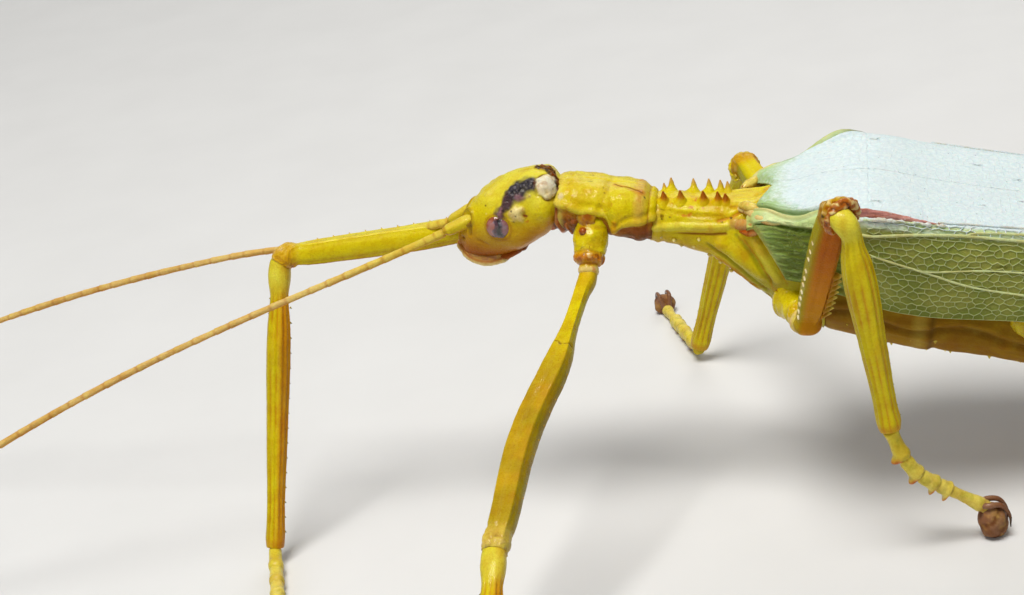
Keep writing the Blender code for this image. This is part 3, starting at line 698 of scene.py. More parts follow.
def mouth():
    """rose and cream upper lip, brown jaws, and two pairs of palps"""
    hoops = ((-3.75, 3.85, 4.9, 0.8), (-3.2, 3.3, 4.7, 1.3), (-2.3, 2.98, 4.4, 1.62), (-1.3, 3.0, 4.3, 1.75),
             (-0.4, 3.3, 4.4, 1.7))
    lip = trunk(hoops, 0.05, 150, 2.2, 0.2, 0.3)
    co, out = skin_of(lip)
    low = curve(co[:, 0], [(hoop[0], hoop[1]) for hoop in hoops])
    above = co[:, 2] - low
    fuzz = noise(co, 0.25, 2, 2)
    lift = 0.04 * fuzz
    colours = plain(co, "tan")
    lay(colours, step(fuzz, 0.1, -0.4) * 0.5, "rose")
    lay(colours, step(above + 0.1 * fuzz, 0.6, 0.42), "cream")
    lay(colours, step(above + 0.1 * fuzz, 0.5, 0.3) * 0.8, "ivory")
    lay(colours, step(above, 0.1, 0.0) * 0.8, "rose")
    lay(colours, fade(above - 0.62, 0.1) * 0.6, "sienna")
    lift += 0.12 * fade(above - 0.36, 0.34) - 0.07 * fade(above - 0.76, 0.16)
    lift -= 0.14 * fade(np.abs(co[:, 1]), 0.25) * step(co[:, 0], -2.7, -3.4)
    raise_skin(lip, co, out, lift)
    piece("upper_lip", lip, dull, "labrum", colours)

    hoops = ((-0.9, 3.3, 4.3, 1.5), (-0.2, 3.5, 4.5, 1.7), (0.4, 3.8, 4.8, 1.6), (0.9, 4.1, 5.0, 1.2))
    jaw = trunk(hoops, 0.06, 130, 2.2, 0.3, 0.4)
    co, out = skin_of(jaw)
    lift = 0.05 * noise(co, 0.3, 4, 2)
    low = curve(co[:, 0], [(hoop[0], hoop[1]) for hoop in hoops])
    colours = plain(co, "rust")
    lay(colours, step(co[:, 2] - low, 0.45, 0.1) * step(co[:, 0], 1.0, -0.4) * 0.8, "tan")
    lay(colours, step(co[:, 0], 0.2, 1.3) * 0.6, "brown")
    lift -= 0.12 * fade(co[:, 1], 0.2)
    raise_skin(jaw, co, out, lift)
    piece("jaw_pair", jaw, dull, "jaws", colours)

    def knots(mm, share, angle):
        """joints of a palp"""
        return 0.02 * np.cos(share * 6 * math.pi) - 0.01

    slim = ((0, 0.16), (0.5, 0.17), (1, 0.12))
    for name, side in SIDES:
        flip = np.array((1, -side, 1))
        runs = {
            f"palp_{name}": [(0.3, -1.2, 4.1), (-0.2, -1.25, 3.75), (-0.8, -1.1, 3.4), (-1.3, -0.85, 3.2)],
            f"inner_palp_{name}": [(-0.2, -0.55, 3.7), (-0.7, -0.6, 3.35), (-1.2, -0.45, 3.15)],
        }
        for label, run in runs.items():
            palp = limb(np.array(run) * flip, slim, slim, 24, 0.05, caps=(0.1, 0.12), shape=knots)
            colours = plain(palp.verts, "sienna")
            lay(colours, fade((info(palp)[:, 2] * 3) % 1 - 0.5, 0.3) * 0.7, "tan")
            nodes = f"palp_{name}" if label.startswith("palp") else ()
            piece(label, palp, shell, nodes, colours)


# ---- feelers

# where each feeler ends, how far it arches, and how far it droops near the head
FEELERS = {"left": ((-47.5, -10.3, -17.6), 2.5, 0.0), "right": ((-51.5, 9.4, -12.7), 1.9, 0.75)}


def feelers():
    """a ridged root and a long whip of many joints on each side"""
    for name, side in SIDES:
        base = SCAPE * (1, -side, 1)
        tip, bow, droop = FEELERS[name]
        tip = np.array(tip)
        way = unit(tip - base)
        halves = ((0, 0.40), (0.14, 0.30), (0.25, 0.45), (0.7, 0.46), (0.92, 0.4), (1, 0.3))

        def ridges(mm, share, angle):
            return 0.045 * (hump(angle, 0.5, 0.3) + hump(angle, 2.6, 0.3) + hump(angle, 4.2, 0.3))

        path = [base - way * 0.35, base + way * 0.2, base + way * 1.5 + UP * (0.08 - droop * 0.5),
                base + way * 2.5 + UP * (0.18 - droop)]
        scape = limb(path, halves, halves, 48, 0.05, caps=(0.1, 0.18), shape=ridges)
        colours = plain(scape.verts, "yellow")
        note = info(scape)
        # paler on top as painted light, amber underneath as painted shade
        lay(colours, step(np.sin(note[:, 1]), 0.0, 0.9) * 0.5, "straw")
        lay(colours, step(np.sin(note[:, 1]), -0.1, -0.9) * 0.7, "amber")
        lay(colours, fade(note[:, 2] - 0.12, 0.08) * 0.4, "sienna")
        lay(colours, fade(note[:, 2] - 0.98, 0.06) * 0.5, "sienna")
        piece(f"feeler_root_{name}", scape, shell, f"scape_{name}", colours)

        shares = np.linspace(0.05, 1, 24)
        whip = [base + (tip - base) * t + UP * bow * math.sin(math.pi * t) * t ** 0.5
                - UP * droop * fade(t - 0.12, 0.3) for t in shares]
        length = run_length(whip)
        joints = [0.0, 0.7, 1.5]
        while joints[-1] < length - 1.2:
            joints.append(joints[-1] + 1.55 + 0.35 * math.sin(len(joints) * 2.3))
        joints = np.array(joints)
        half = ((0, 0.33), (0.04, 0.3), (0.25, 0.25), (0.8, 0.235), (1, 0.16))

        def joint_gap(mm):
            return np.min(np.abs(mm[:, None] - joints), axis=1)

        def segments(mm, share, angle):
            k = np.clip(np.searchsorted(joints, mm) - 1, 0, len(joints) - 2)
            part = (mm - joints[k]) / (joints[k + 1] - joints[k])
            swell = 0.018 * step(part, 0.55, 0.95) - 0.012 * fade(part - 0.25, 0.3)
            return swell - 0.028 * fade(joint_gap(mm), 0.1) + 0.012 * np.cos(angle * 4 + k)

        bm = limb(whip, half, half, 20, 0.085, caps=(0.1, 0.5), shape=segments)
        note, co = info(bm), coords(bm)
        colours = plain(co, "sand")
        lay(colours, step(note[:, 0], 0, 30) * 0.5, "tan")
        lay(colours, step(note[:, 0], 14, 0) * 0.65, "yellow")
        lay(colours, fade(joint_gap(note[:, 0]), 0.2) * 0.38, "sienna")
        # amber underneath is painted shade
        lay(colours, step(np.sin(note[:, 1]), 0.1, -0.8) * 0.6, "amber")
        lay(colours, patches(co, 0.35, 3, 0.1, 0.6) * 0.3, "straw")
        piece(f"feeler_{name}", bm, dull, f"antenna_{name}", colours)


# ---- neck and thorax

# lowest and highest points and half width along the middle thorax
MESO_LOW = ((10.2, 5.5), (12, 5.3), (14.5, 4.7), (17.2, 2.9), (20.4, 0.7), (22.9, -0.3))
MESO_HIGH = ((10.2, 8.75), (11.5, 9.0), (15.8, 9.1), (17.5, 9.4), (18.9, 9.8), (19.3, 9.2), (22.9, 8.4))
MESO_HALF = ((10.2, 1.75), (11.5, 1.9), (15.8, 2.3), (18.5, 3.1), (20.6, 4.0), (22.9, 4.3))


def neck():
    """folded brown skin between head and collar"""
    hoops = ((2.6, 6.2, 9.3, 1.5), (3.2, 5.95, 9.45, 1.85), (3.8, 5.85, 9.4, 2.1), (4.6, 5.8, 9.2, 2.2))
    bm = trunk(hoops, 0.05, 200)
    co, out = skin_of(bm)
    bent = noise(co, 0.9, 2)
    folds = np.sin(co[:, 0] * 9 + (co[:, 2] - 7) * 1.9 + 2.2 * bent)
    small = noise(co, 0.28, 6, 2)
    lift = 0.12 * folds + 0.1 * noise(co, 0.6, 7) + 0.05 * small
    colours = plain(co, "sienna")
    # brown in the hollows of the folds is painted shade, and tan on the crests low on the neck painted
    # highlight
    lay(colours, step(folds + small * 0.5, 0.1, -0.8) * 0.9, "brown")
    lay(colours, step(folds + small * 0.4, 0.5, 1.1) * step(co[:, 2], 6.4, 7.6) * 0.6, "tan")
    lay(colours, step(small, 0.1, 0.5) * step(co[:, 2], 8.2, 7.2) * 0.45, "plum")
    lay(colours, step(co[:, 2], 8.3, 9.0) * 0.6, "straw")
    raise_skin(bm, co, out, lift)
    piece("neck_skin", bm, wet, "neck", colours)


def prothorax():
    """the collar: first ring of the thorax, with a front rim and a cross furrow"""
    hoops = (
        (3.5, 6.4, 9.5, 1.95), (3.95, 6.15, 9.72, 2.3), (5.6, 6.0, 9.68, 2.5), (6.9, 5.95, 9.58, 2.45),
        (7.2, 5.95, 9.52, 2.42), (8.4, 5.7, 9.5, 2.35), (9.4, 5.6, 9.3, 2.2), (10.3, 5.6, 8.9, 1.95),
    )
    bm = trunk(hoops, 0.07, 240, 2.5, 0.2, 0.2)
    co, out = skin_of(bm)
    near, lift = folded(co), np.zeros(len(co))
    x, z = co[:, 0], co[:, 2]
    edge = curve(x, ((3.4, 8.3), (4.4, 8.3), (5.15, 8.05), (6.44, 7.95), (7.2, 7.55), (7.5, 6.75),
                     (7.75, 6.7), (8.2, 7.05), (9.9, 7.45), (10.2, 7.6)))
    above = z - edge
    colours = plain(co, "yellow")
    blotch = noise(co, 0.45, 17, 2)
    # below the side edge, sienna and brown are painted shade under the flap and rust along the crease under
    # it too; pale yellow on top is painted light
    lay(colours, step(above, 0.05, -0.3) * 0.85, "sienna")
    lay(colours, step(above + 0.3 * blotch, -0.2, -0.9) * 0.8, "brown")
    lay(colours, step(z, 8.6, 9.7) * 0.35, "pale_yellow")
    lay(colours, fade(above + 0.1, 0.12) * 0.6, "rust")
    lift += 0.2 * step(above, -0.2, 0.12) - 0.05 * fade(above + 0.2, 0.2)
    lift += 0.1 * fade(above - 0.25, 0.3) - 0.06 * fade(above - 0.65, 0.25)
    lift += 0.05 * blotch * step(above, 0, -0.3)
    # straw on the rolled edge is painted highlight
    lay(colours, fade(above - 0.25, 0.25) * 0.3, "straw")
    # front rim, cross furrow, middle line, hind band
    wavy = x + 0.12 * noise(co, 0.8, 5)
    lift += 0.08 * fade(wavy - 3.75, 0.3) - 0.06 * fade(wavy - 4.3, 0.28)
    lay(colours, fade(wavy - 3.7, 0.4) * 0.7, "straw")
    lay(colours, fade(wavy - 4.3, 0.2) * step(blotch, -0.3, 0.4) * 0.4, "sienna")
    furrow = x - 6.95 - 0.2 * np.cos(co[:, 1] * 1.2) + 0.25 * noise(co, 0.9, 8)
    lift -= 0.06 * fade(furrow, 0.5) * step(z, 7.6, 8.8)
    lift += 0.05 * fade(reach(near, (8.1, -1.5, 8.9)), 1.0) + 0.07 * fade(reach(near, (6.8, -1.3, 9.2)), 0.8)
    lift += 0.07 * noise(co, 1.1, 14) + 0.035 * noise(co, 0.4, 16, 2)
    cracks = fade(noise(co, 0.9, 24, 2), 0.05) * step(noise(co, 1.3, 25), -0.1, 0.3)
    lift -= 0.05 * cracks
    lay(colours, cracks * 0.55, "sienna")
    lay(colours, fade(furrow, 0.2) * step(z, 8, 9) * 0.3, "ochre")
    lift -= 0.045 * fade(co[:, 1], 0.12) * step(z, 8, 9)
    lift += 0.05 * fade(np.abs(near[:, 1] + 1.2), 0.8) * fade(x - 5.6, 1.2) * step(z, 8, 9)
    band = fade(x - 9.35, 0.62) * step(z, 7.2, 8.4)
    lay(colours, band * 0.6, "tan")
    lay(colours, band * step(blotch, 0, 0.5) * 0.5, "orange")
    lay(colours, fade(x - 9.98, 0.12) * 0.55, "rust")
    lift += 0.1 * fade(x - 9.4, 0.5) - 0.07 * fade(x - 9.98, 0.16)
    shared = [
        ([(3.93, -1.85, 9.0)], 0.32, "ivory", 0.8, 0.1),
        ([(4.86, -0.67, 9.83), (5.4, -0.75, 9.75), (5.86, -0.52, 9.67)], 0.09, "umber", 0.8, -0.05),
        ([(6.73, -1.24, 9.39)], 0.12, "umber", 0.9, -0.05),
        ([(6.84, -1.62, 9.23)], 0.11, "umber", 0.9, -0.05),
        ([(9.61, -1.37, 8.92)], 0.12, "umber", 0.9, -0.05),
        ([(8.2, -2.3, 6.85), (9.8, -2.1, 6.8)], 0.5, "rust", 0.75, -0.04),
        ([(7.65, -2.35, 7.5), (7.62, -2.25, 6.75)], 0.3, "amber", 0.5, 0.08),
    ]
    marks(near, colours, lift, shared)
    own = [
        ([(7.43, -0.4, 9.45), (8.05, -0.8, 9.44), (8.7, -0.85, 9.42), (9.44, -1.15, 9.15)],
         0.1, "umber", 1, -0.09),
        ([(7.68, 0.81, 9.45)], 0.12, "umber", 0.9, -0.05),
        ([(7.5, -0.5, 9.4), (9.3, -1.2, 9.2)], 0.35, "amber", 0.4, 0.02),
    ]
    marks(co, colours, lift, own)
    lift += 0.03 * noise(co, 0.7, 3, 2) + 0.012 * noise(co, 0.2, 8)
    lay(colours, patches(co, 0.5, 11, 0.25, 0.6) * 0.2, "amber")
    raise_skin(bm, co, out, lift)
    piece("collar_shell", bm, shell, "prothorax", colours)


# thorns with a thinner foot than this need few faces
SMALL_THORN = 0.25


def thorn(foot, tip, half, root="amber", body="yellow", point="sienna", bend=0.0, flare=1.25):
    """one spine: a flared foot drawn out to a blunt tip"""
    foot, tip = np.array(foot, float), np.array(tip, float)
    middle = (foot + tip) / 2 + BACK * bend
    sizes = ((0, half * flare), (0.15, half * flare * 0.8), (0.5, half * 0.72), (0.8, half * 0.42),
             (1, half * 0.2))
    columns, turns = (18, 7) if half > SMALL_THORN else (8, 3)
    bm = limb([foot, middle, tip], sizes, sizes, columns, 0.06, BACK, caps=(0.03, half * 0.25), turns=turns)
    share = info(bm)[:, 2]
    colours = plain(share, body)
    rooted = 0.25 + (flare - 1.25) * 0.6
    lay(colours, step(share, rooted, rooted - 0.3) * 0.88, root)
    lay(colours, step(share, 0.55, 0.95) * 0.9, point)
    return tone(bm, colours)


# spines of the two rows: place along the back, and height
SPINES = {
    "left": ((11.05, 0.55), (12.25, 0.6), (13.87, 0.6), (14.9, 0.58), (15.45, 0.45)),
    "right": ((10.95, 0.3), (11.45, 0.62), (13.05, 0.6), (14.16, 0.62), (14.98, 0.55), (15.5, 0.45)),
}
# hues of their roots, bodies and points, and how far their feet flare
SPINE_LOOKS = {"left": (("yellow", "amber", "sienna"), 1.9), "right": (("yellow", "yellow", "tan"), 2.1)}
# pale studs low on the left flank
STUDS = (
    (10.99, -1.62, 6.22), (11.94, -1.9, 6.12), (12.48, -1.5, 5.6), (13.37, -1.75, 5.65), (13.73, -2.15, 6.39),
    (14.51, -1.5, 4.95), (15.32, -1.6, 4.5), (16.1, -1.7, 3.9),
)


def mesothorax():
    """long middle thorax with its ridge and side plates; spines and studs stand on it"""
    hoops = hoops_along(10.2, 22.9, 30, MESO_LOW, MESO_HIGH, MESO_HALF)
    bm = trunk(hoops, 0.09, 260, 2.3, 0.2, 0.2)
    co, out = skin_of(bm)
    near, lift = folded(co), np.zeros(len(co))
    x, z = co[:, 0], co[:, 2]
    colours = plain(co, "yellow")
    # ochre and olive towards the underside are painted shade
    lay(colours, step(z, 7.0, 5.2) * step(x, 16, 11) * 0.7, "ochre")
    lay(colours, step(x, 15.0, 17.5) * step(z, 7.5, 4) * 0.75, "olive")
    lay(colours, step(x, 11.1, 10.5) * step(z, 6.8, 8) * 0.7, "straw")
    lift += 0.08 * fade(x - 10.7, 0.35) - 0.06 * fade(x - 11.15, 0.2)
    ridge = [(10.1, -1.85, 6.95), (12.3, -2.0, 7.3), (14.7, -2.2, 7.45), (15.6, -2.25, 7.6)]
    plates = [
        # the side ridge is painted pale as highlight, with painted shadow in the rust line below it and
        # painted shade in the ochre groove above
        (ridge, 0.42, "pale_yellow", 0.75, 0.2),
        ([(p[0], p[1] - 0.05, p[2] - 0.55) for p in ridge], 0.16, "rust", 0.8, -0.12),
        ([(10.6, -1.3, 8.2), (13, -1.75, 8.1), (15.4, -1.95, 8.15)], 0.3, "ochre", 0.4, -0.09),
        ([(11.0, -1.7, 7.89)], 0.2, "brown", 0.7, 0), ([(11.03, -1.8, 7.7)], 0.1, "umber", 0.9, 0),
        ([(11.59, -1.78, 7.88)], 0.1, "umber", 0.9, 0), ([(12.94, -1.78, 8.11)], 0.18, "orange", 0.8, 0.03),
        # side plates of the wing-bearing part; moss and ochre in their grooves are painted shade, pale yellow
        # on their folds painted highlight
        ([(15.4, -2.25, 6.2), (16.7, -2.6, 5.2), (18.2, -2.9, 4.4)], 0.8, "yellow", 0.6, 0.26),
        ([(14.4, -1.9, 6.1), (15.9, -2.1, 5.0), (17.3, -2.2, 3.8), (18.6, -2.3, 2.9)],
         0.3, "moss", 0.6, -0.16),
        ([(16.4, -2.3, 7.0), (17.3, -2.7, 6.0), (18.1, -2.9, 5.0), (19.0, -3.0, 3.9)],
         0.26, "moss", 0.55, -0.14),
        ([(17.7, -2.8, 6.9), (18.5, -3.1, 5.6), (19.4, -3.3, 4.2)], 0.5, "pale_yellow", 0.5, 0.2),
        ([(19.0, -3.2, 6.4), (19.6, -3.5, 5.2), (20.2, -3.6, 4.0)], 0.24, "ochre", 0.7, -0.12),
        ([(15.1, -1.6, 4.8), (16.6, -1.6, 3.7), (18.0, -1.6, 2.6)], 0.45, "amber", 0.6, 0.1),
        ([(17.0, -2.62, 6.7), (17.9, -2.9, 5.6), (18.75, -3.1, 4.36), (19.1, -3.0, 3.1)],
         0.16, "ochre", 0.7, -0.07),
        ([(16.22, -2.1, 7.84)], 0.6, "tan", 0.7, 0.25), ([(17.0, -2.4, 7.5)], 0.55, "orange", 0.7, 0.1),
        ([(15.0, -2.1, 7.9), (15.9, -2.0, 8.2), (16.9, -1.6, 8.8)], 0.2, "amber", 0.8, -0.12),
        ([(15.3, -2.0, 7.81)], 0.12, "black", 1, -0.08), ([(15.92, -1.94, 8.14)], 0.12, "black", 1, -0.08),
        ([(16.39, -1.75, 8.46)], 0.1, "black", 1, -0.08), ([(16.85, -1.5, 8.83)], 0.1, "black", 1, -0.08),
        # back shield rising to its point; pale yellow on its ridge is painted highlight, ochre, brown and
        # rust in the grooves below painted shade
        ([(15.9, -0.9, 9.0), (17.2, -1.1, 9.3), (18.6, -0.5, 9.8)], 0.35, "pale_yellow", 0.6, 0.14),
        ([(15.9, -1.35, 8.75), (17.3, -1.65, 9.0), (18.7, -1.3, 9.4)], 0.2, "ochre", 0.6, -0.12),
        ([(18.3, 0, 9.8), (18.95, 0, 9.95)], 0.5, "tan", 0.6, 0.22),
        ([(19.2, -1.9, 1.6), (20.2, -2.6, 1.4), (21.3, -3.0, 1.2)], 0.6, "tan", 0.5, 0.12),
        ([(18.6, -1.6, 2.3), (19.6, -2.6, 2.5), (19.9, -3.2, 3.6)], 0.16, "brown", 0.7, -0.14),
        ([(17.4, -1.5, 3.2), (18.4, -2.1, 3.0), (19.0, -2.9, 3.0)], 0.16, "rust", 0.6, -0.1),
        ([(11.5, 0, 5.3), (17.5, 0, 2.7)], 0.25, "ochre", 0.5, 0.1),
    ]
    marks(near, colours, lift, plates)
    lift += 0.04 * noise(co, 0.9, 3, 2) + 0.015 * noise(co, 0.22, 8)
    lay(colours, patches(co, 0.7, 21, 0.15, 0.6) * 0.3, "amber")
    flecks = step(noise(co, 0.28, 27), 0.5, 0.68) * fade(x - 13.4, 2.6) * step(z, 7.6, 8.1)
    lay(colours, flecks * 0.7, "orange")
    lay(colours, patches(co, 0.8, 29, 0.2, 0.6) * fade(x - 13, 3.2) * step(z, 7.2, 8) * 0.4, "straw")
    raise_skin(bm, co, out, lift)
    piece("trunk_shell", bm, shell, "mesothorax", colours)

    spines = []
    for name, side in SIDES:
        hues, flare = SPINE_LOOKS[name]
        for x, tall in SPINES[name]:
            foot = (x, 0.82 * side, level(x, MESO_HIGH) - 0.4)
            tip = (x - 0.05, 1.15 * side, foot[2] + 0.44 + tall)
            spines.append(thorn(foot, tip, 0.38 if tall > 0.4 else 0.28, *hues, bend=0.04, flare=flare))
    piece("back_spines", join(spines), shell)

    studs = []
    for _, side in SIDES:
        for at in STUDS:
            at = np.array(at) * (1, -side, 1)
            way = unit(np.array((0, side * 0.9, -0.3)))
            studs.append(thorn(at - way * 0.1, at + way * 0.1, 0.15, "ochre", "straw", "ivory"))
    piece("side_studs", join(studs), shell)


# ---- hind body

# lowest and highest points and half width along the hind body, and lengths of its rings
BODY_LOW = ((22.9, -0.3), (27, -1.1), (39, -2.2), (52, -2.8), (66, -2.3), (80, -0.6), (93, 1.5), (104.5, 3.4))
BODY_HIGH = ((22.9, 8.3), (30, 8.0), (39, 7.5), (52, 6.6), (66, 6.0), (80, 5.9), (93, 6.1), (104.5, 5.7))
BODY_HALF = ((22.9, 4.4), (30, 4.7), (39, 4.6), (52, 4.4), (66, 4.0), (80, 3.2), (93, 2.2), (104.5, 1.3))
RINGS = np.array((0, 8.6, 9.2, 9.4, 9.2, 8.4, 6.6, 5.4, 4.6, 4.1))
RING_EDGES = 39 + np.cumsum(RINGS) * (104.5 - 39) / RINGS.sum()


def hind_body():
    """one skin over the hind thorax and the abdomen's rings, with its grains, egg guide and prongs"""
    bm = trunk(hoops_along(22.9, 104.5, 40, BODY_LOW, BODY_HIGH, BODY_HALF), 0.22, 150, 2.2, 0.3, 0.9)
    co, out = skin_of(bm)
    lift = np.zeros(len(co))
    x, z = co[:, 0], co[:, 2]
    low, high = level(x, BODY_LOW), level(x, BODY_HIGH)
    tall = (z - low) / (high - low)
    edges = np.concatenate(((22.9, 30.6), RING_EDGES))
    k = np.clip(np.searchsorted(edges, x) - 1, 0, len(edges) - 2)
    part = (x - edges[k]) / (edges[k + 1] - edges[k])
    # the abdomen's brown is its ochre as seen in shade: painted shade
    colours = plain(co, "belly_in_shade")
    lay(colours, step(tall, 0.3, 0.75) * 0.6, "olive")
    lay(colours, step(tall, 0.3, 0.0) * 0.4, "ochre")
    lift += 0.16 * step(part, 0.5, 0.93) - 0.16 * step(part, 0.965, 1.0) - 0.1 * fade(part, 0.045)
    lay(colours, fade(part - 0.97, 0.04) * 0.7, "belly_dark")
    lay(colours, fade(part - 0.86, 0.1) * 0.3, "straw")
    seam = 0.3 + 0.04 * np.sin(part * 2 * math.pi)
    lift += -0.22 * fade(tall - seam, 0.045) + 0.1 * fade(tall - seam - 0.07, 0.05)
    lay(colours, fade(tall - seam, 0.05) * 0.6, "belly_dark")
    for share in (0.25, 0.75):
        lift += 0.05 * fade(tall - share * 0.9, 0.04)
    wrinkles = noise(co * (0.35, 1, 1), 0.35, 4, 2)
    lift += 0.035 * wrinkles + 0.05 * noise(co, 1.2, 6, 2)
    lay(colours, step(wrinkles, 0.1, 0.6) * 0.25, "ochre")
    raise_skin(bm, co, out, lift)
    names = ["metathorax"] + [f"abdomen_{number}" for number in range(2, 11)]
    piece("hind_body", bm, dull, names, colours)

    rng = np.random.default_rng(5)
    grains = []
    for x in np.arange(24.5, 100, 0.85):
        at_low, at_high, half = level(x, BODY_LOW), level(x, BODY_HIGH), level(x, BODY_HALF)
        for side in (-1, 1):
            for turn in (-38, -62):
                if rng.random() < 0.45:
                    continue
                a = math.radians(turn + rng.uniform(-7, 7))
                c, s = ring(a, 2.2)
                y, z = half * c * side, (at_low + at_high) / 2 + (at_high - at_low) / 2 * s
                spot = np.array((x + rng.uniform(-0.3, 0.3), y, z))
                way = unit(np.array((0, c * side, s)))
                size = rng.uniform(0.09, 0.17)
                grain_tip = spot + way * size * 1.1
                # grain roots take the belly's painted-shade brown
                grains.append(thorn(spot - way * 0.05, grain_tip, size, "belly_in_shade", "straw", "straw"))
    piece("belly_grains", join(grains), dull)

    hoops = ((92.5, 0.35, 0.85, 0.7), (95, 0.55, 1.6, 1.15), (99, 1.2, 2.5, 1.0), (103, 1.95, 3.0, 0.55))
    plate = trunk(hoops, 0.12, 80, 2.1, 0.6, 0.8)
    co, out = skin_of(plate)
    lift = 0.04 * noise(co * (0.4, 1, 1), 0.3, 2, 2) + 0.08 * fade(co[:, 1], 0.2) * step(co[:, 2], 2, 1)
    # the egg guide takes the belly's painted-shade brown
    colours = plain(co, "belly_in_shade")
    lay(colours, step(co[:, 0], 99, 104) * 0.6, "olive")
    lay(colours, step(noise(co, 0.5, 3), 0.1, 0.5) * 0.3, "ochre")
    raise_skin(plate, co, out, lift)
    piece("egg_guide", plate, dull, "operculum", colours)

    wide = ((0, 0.25), (0.3, 0.36), (0.7, 0.34), (1, 0.12))
    high = ((0, 0.3), (0.3, 0.48), (0.7, 0.4), (1, 0.12))
    for name, side in SIDES:
        path = [(102.9, 1.75 * side, 4.6), (104.2, 2.1 * side, 4.6), (106.3, 2.2 * side, 4.5)]
        bm = limb(path, wide, high, 28, 0.08, caps=(0.1, 0.15),
                  shape=lambda mm, share, angle: 0.03 * np.cos(angle * 3))
        colours = plain(bm.verts, "olive")
        lay(colours, step(info(bm)[:, 2], 0.5, 1) * 0.6, "rust")
        piece(f"tail_prong_{name}", bm, dull, f"cercus_{name}", colours)


# ---- legs

# middles of the right hips in the body's frame, and their half sizes
HIPS = {"front": (6.0, 1.75, 7.0), "mid": (20.6, 2.9, 2.5), "hind": (36.9, 4.1, 3.0)}
HIP_HALF = {"front": 1.05, "mid": 1.35, "hind": 1.4}
# half sizes at the coxa, thigh root, thigh, knee, shin and ankle
LEG_SIZES = {
    "front": (1.18, 0.66, 1.0, 0.86, 0.8, 0.64),
    "mid": (1.2, 0.95, 1.05, 0.84, 0.9, 0.72),
    "hind": (1.3, 0.95, 1.0, 0.86, 0.85, 0.68),
}
# bend of the knees, and the least length that it takes up on each side of the joint
KNEE_RADIUS = {"front": 1.1, "mid": 1.0, "hind": 1.0}
KNEE_REACH = 0.9
# how far the front thighs bow outwards, and the left one forwards too
THIGH_BOW = {"front": 0.9, "mid": 0.0, "hind": 0.0}
LEFT_BOW = 0.55
# angles of the grooves round a shin
SHIN_LINES = (0.1, 0.75, 1.25, 1.85, 2.4, 3.04, 3.6, 4.1, 4.5, 4.95, 5.35, 5.9)
# trochanter, knee, ankle and toe of each leg over the floor
LEG_JOINTS = {
    ("front", -1): ((6.7, -4.2, 20.1), (1.5, -26.0, 11.1), (1.5, -46.0, 1.0), (-1.2, -55.8, 0.46)),
    ("front", 1): ((6.7, 3.9, 21.6), (-17.0, 0.5, 22.1), (-20.3, -6.8, 1.1), (-17.7, -16.6, 0.46)),
    ("mid", -1): ((21.7, -5.7, 15.4), (25.5, -13.5, 28.6), (26.8, -12.0, 9.6), (33.2, -10.6, 0.55)),
    ("mid", 1): ((21.7, 5.7, 15.4), (16.6, 18.6, 18.6), (10.4, 21.6, 1.1), (6.8, 31.6, 0.46)),
    ("hind", -1): ((38.6, -6.6, 12.4), (55.5, -19.0, 21.8), (66.0, -29.0, 1.1), (73.2, -37.0, 0.46)),
    ("hind", 1): ((38.6, 6.6, 12.4), (55.5, 19.0, 21.8), (66.0, 29.0, 1.1), (73.2, 37.0, 0.46)),
}
# places on the right side, sizes and hues of the knobs and the bead on a front hip, and the darker hues
# painted as shade under them
HIP_KNOBS = (
    ((5.75, 2.25, 7.65), 0.74, "ochre", "rust"),
    ((5.55, 3.2, 7.0), 0.3, "rust", "umber"),
    ((4.85, 2.0, 7.45), 0.52, "sienna", "umber"),
)
# middle of the stain beside them
HIP_STAIN = (5.5, 3.1, 7.05)
# where the pale studs stand along a thigh, as shares of its length
THIGH_STUDS = (0.1, 0.16, 0.23, 0.29, 0.35, 0.42, 0.48, 0.55, 0.66, 0.73, 0.81)


def knee_arc(start, knee, end, radius, steps=6):
    """centre points along the rounded bend of a knee"""
    into, out = unit(start - knee), unit(end - knee)
    half = math.acos(np.clip(into @ out, -1, 1)) / 2
    along = max(radius / math.tan(half), KNEE_REACH)
    radius = along * math.tan(half)
    centre = knee + unit(into + out) * radius / math.sin(half)
    a, b = unit(knee + into * along - centre), unit(knee + out * along - centre)
    turn = math.acos(np.clip(a @ b, -1, 1))
    arc = []
    for i in range(2 * steps + 1):
        t = i / (2 * steps)
        arc.append(centre + (a * math.sin((1 - t) * turn) + b * math.sin(t * turn)) / math.sin(turn) * radius)
    return arc


def over_floor(at, side):
    """a place of the body, on the given side, over the floor"""
    return np.array(floor_from_body @ Vector(np.array(at) * (1, side, 1)))


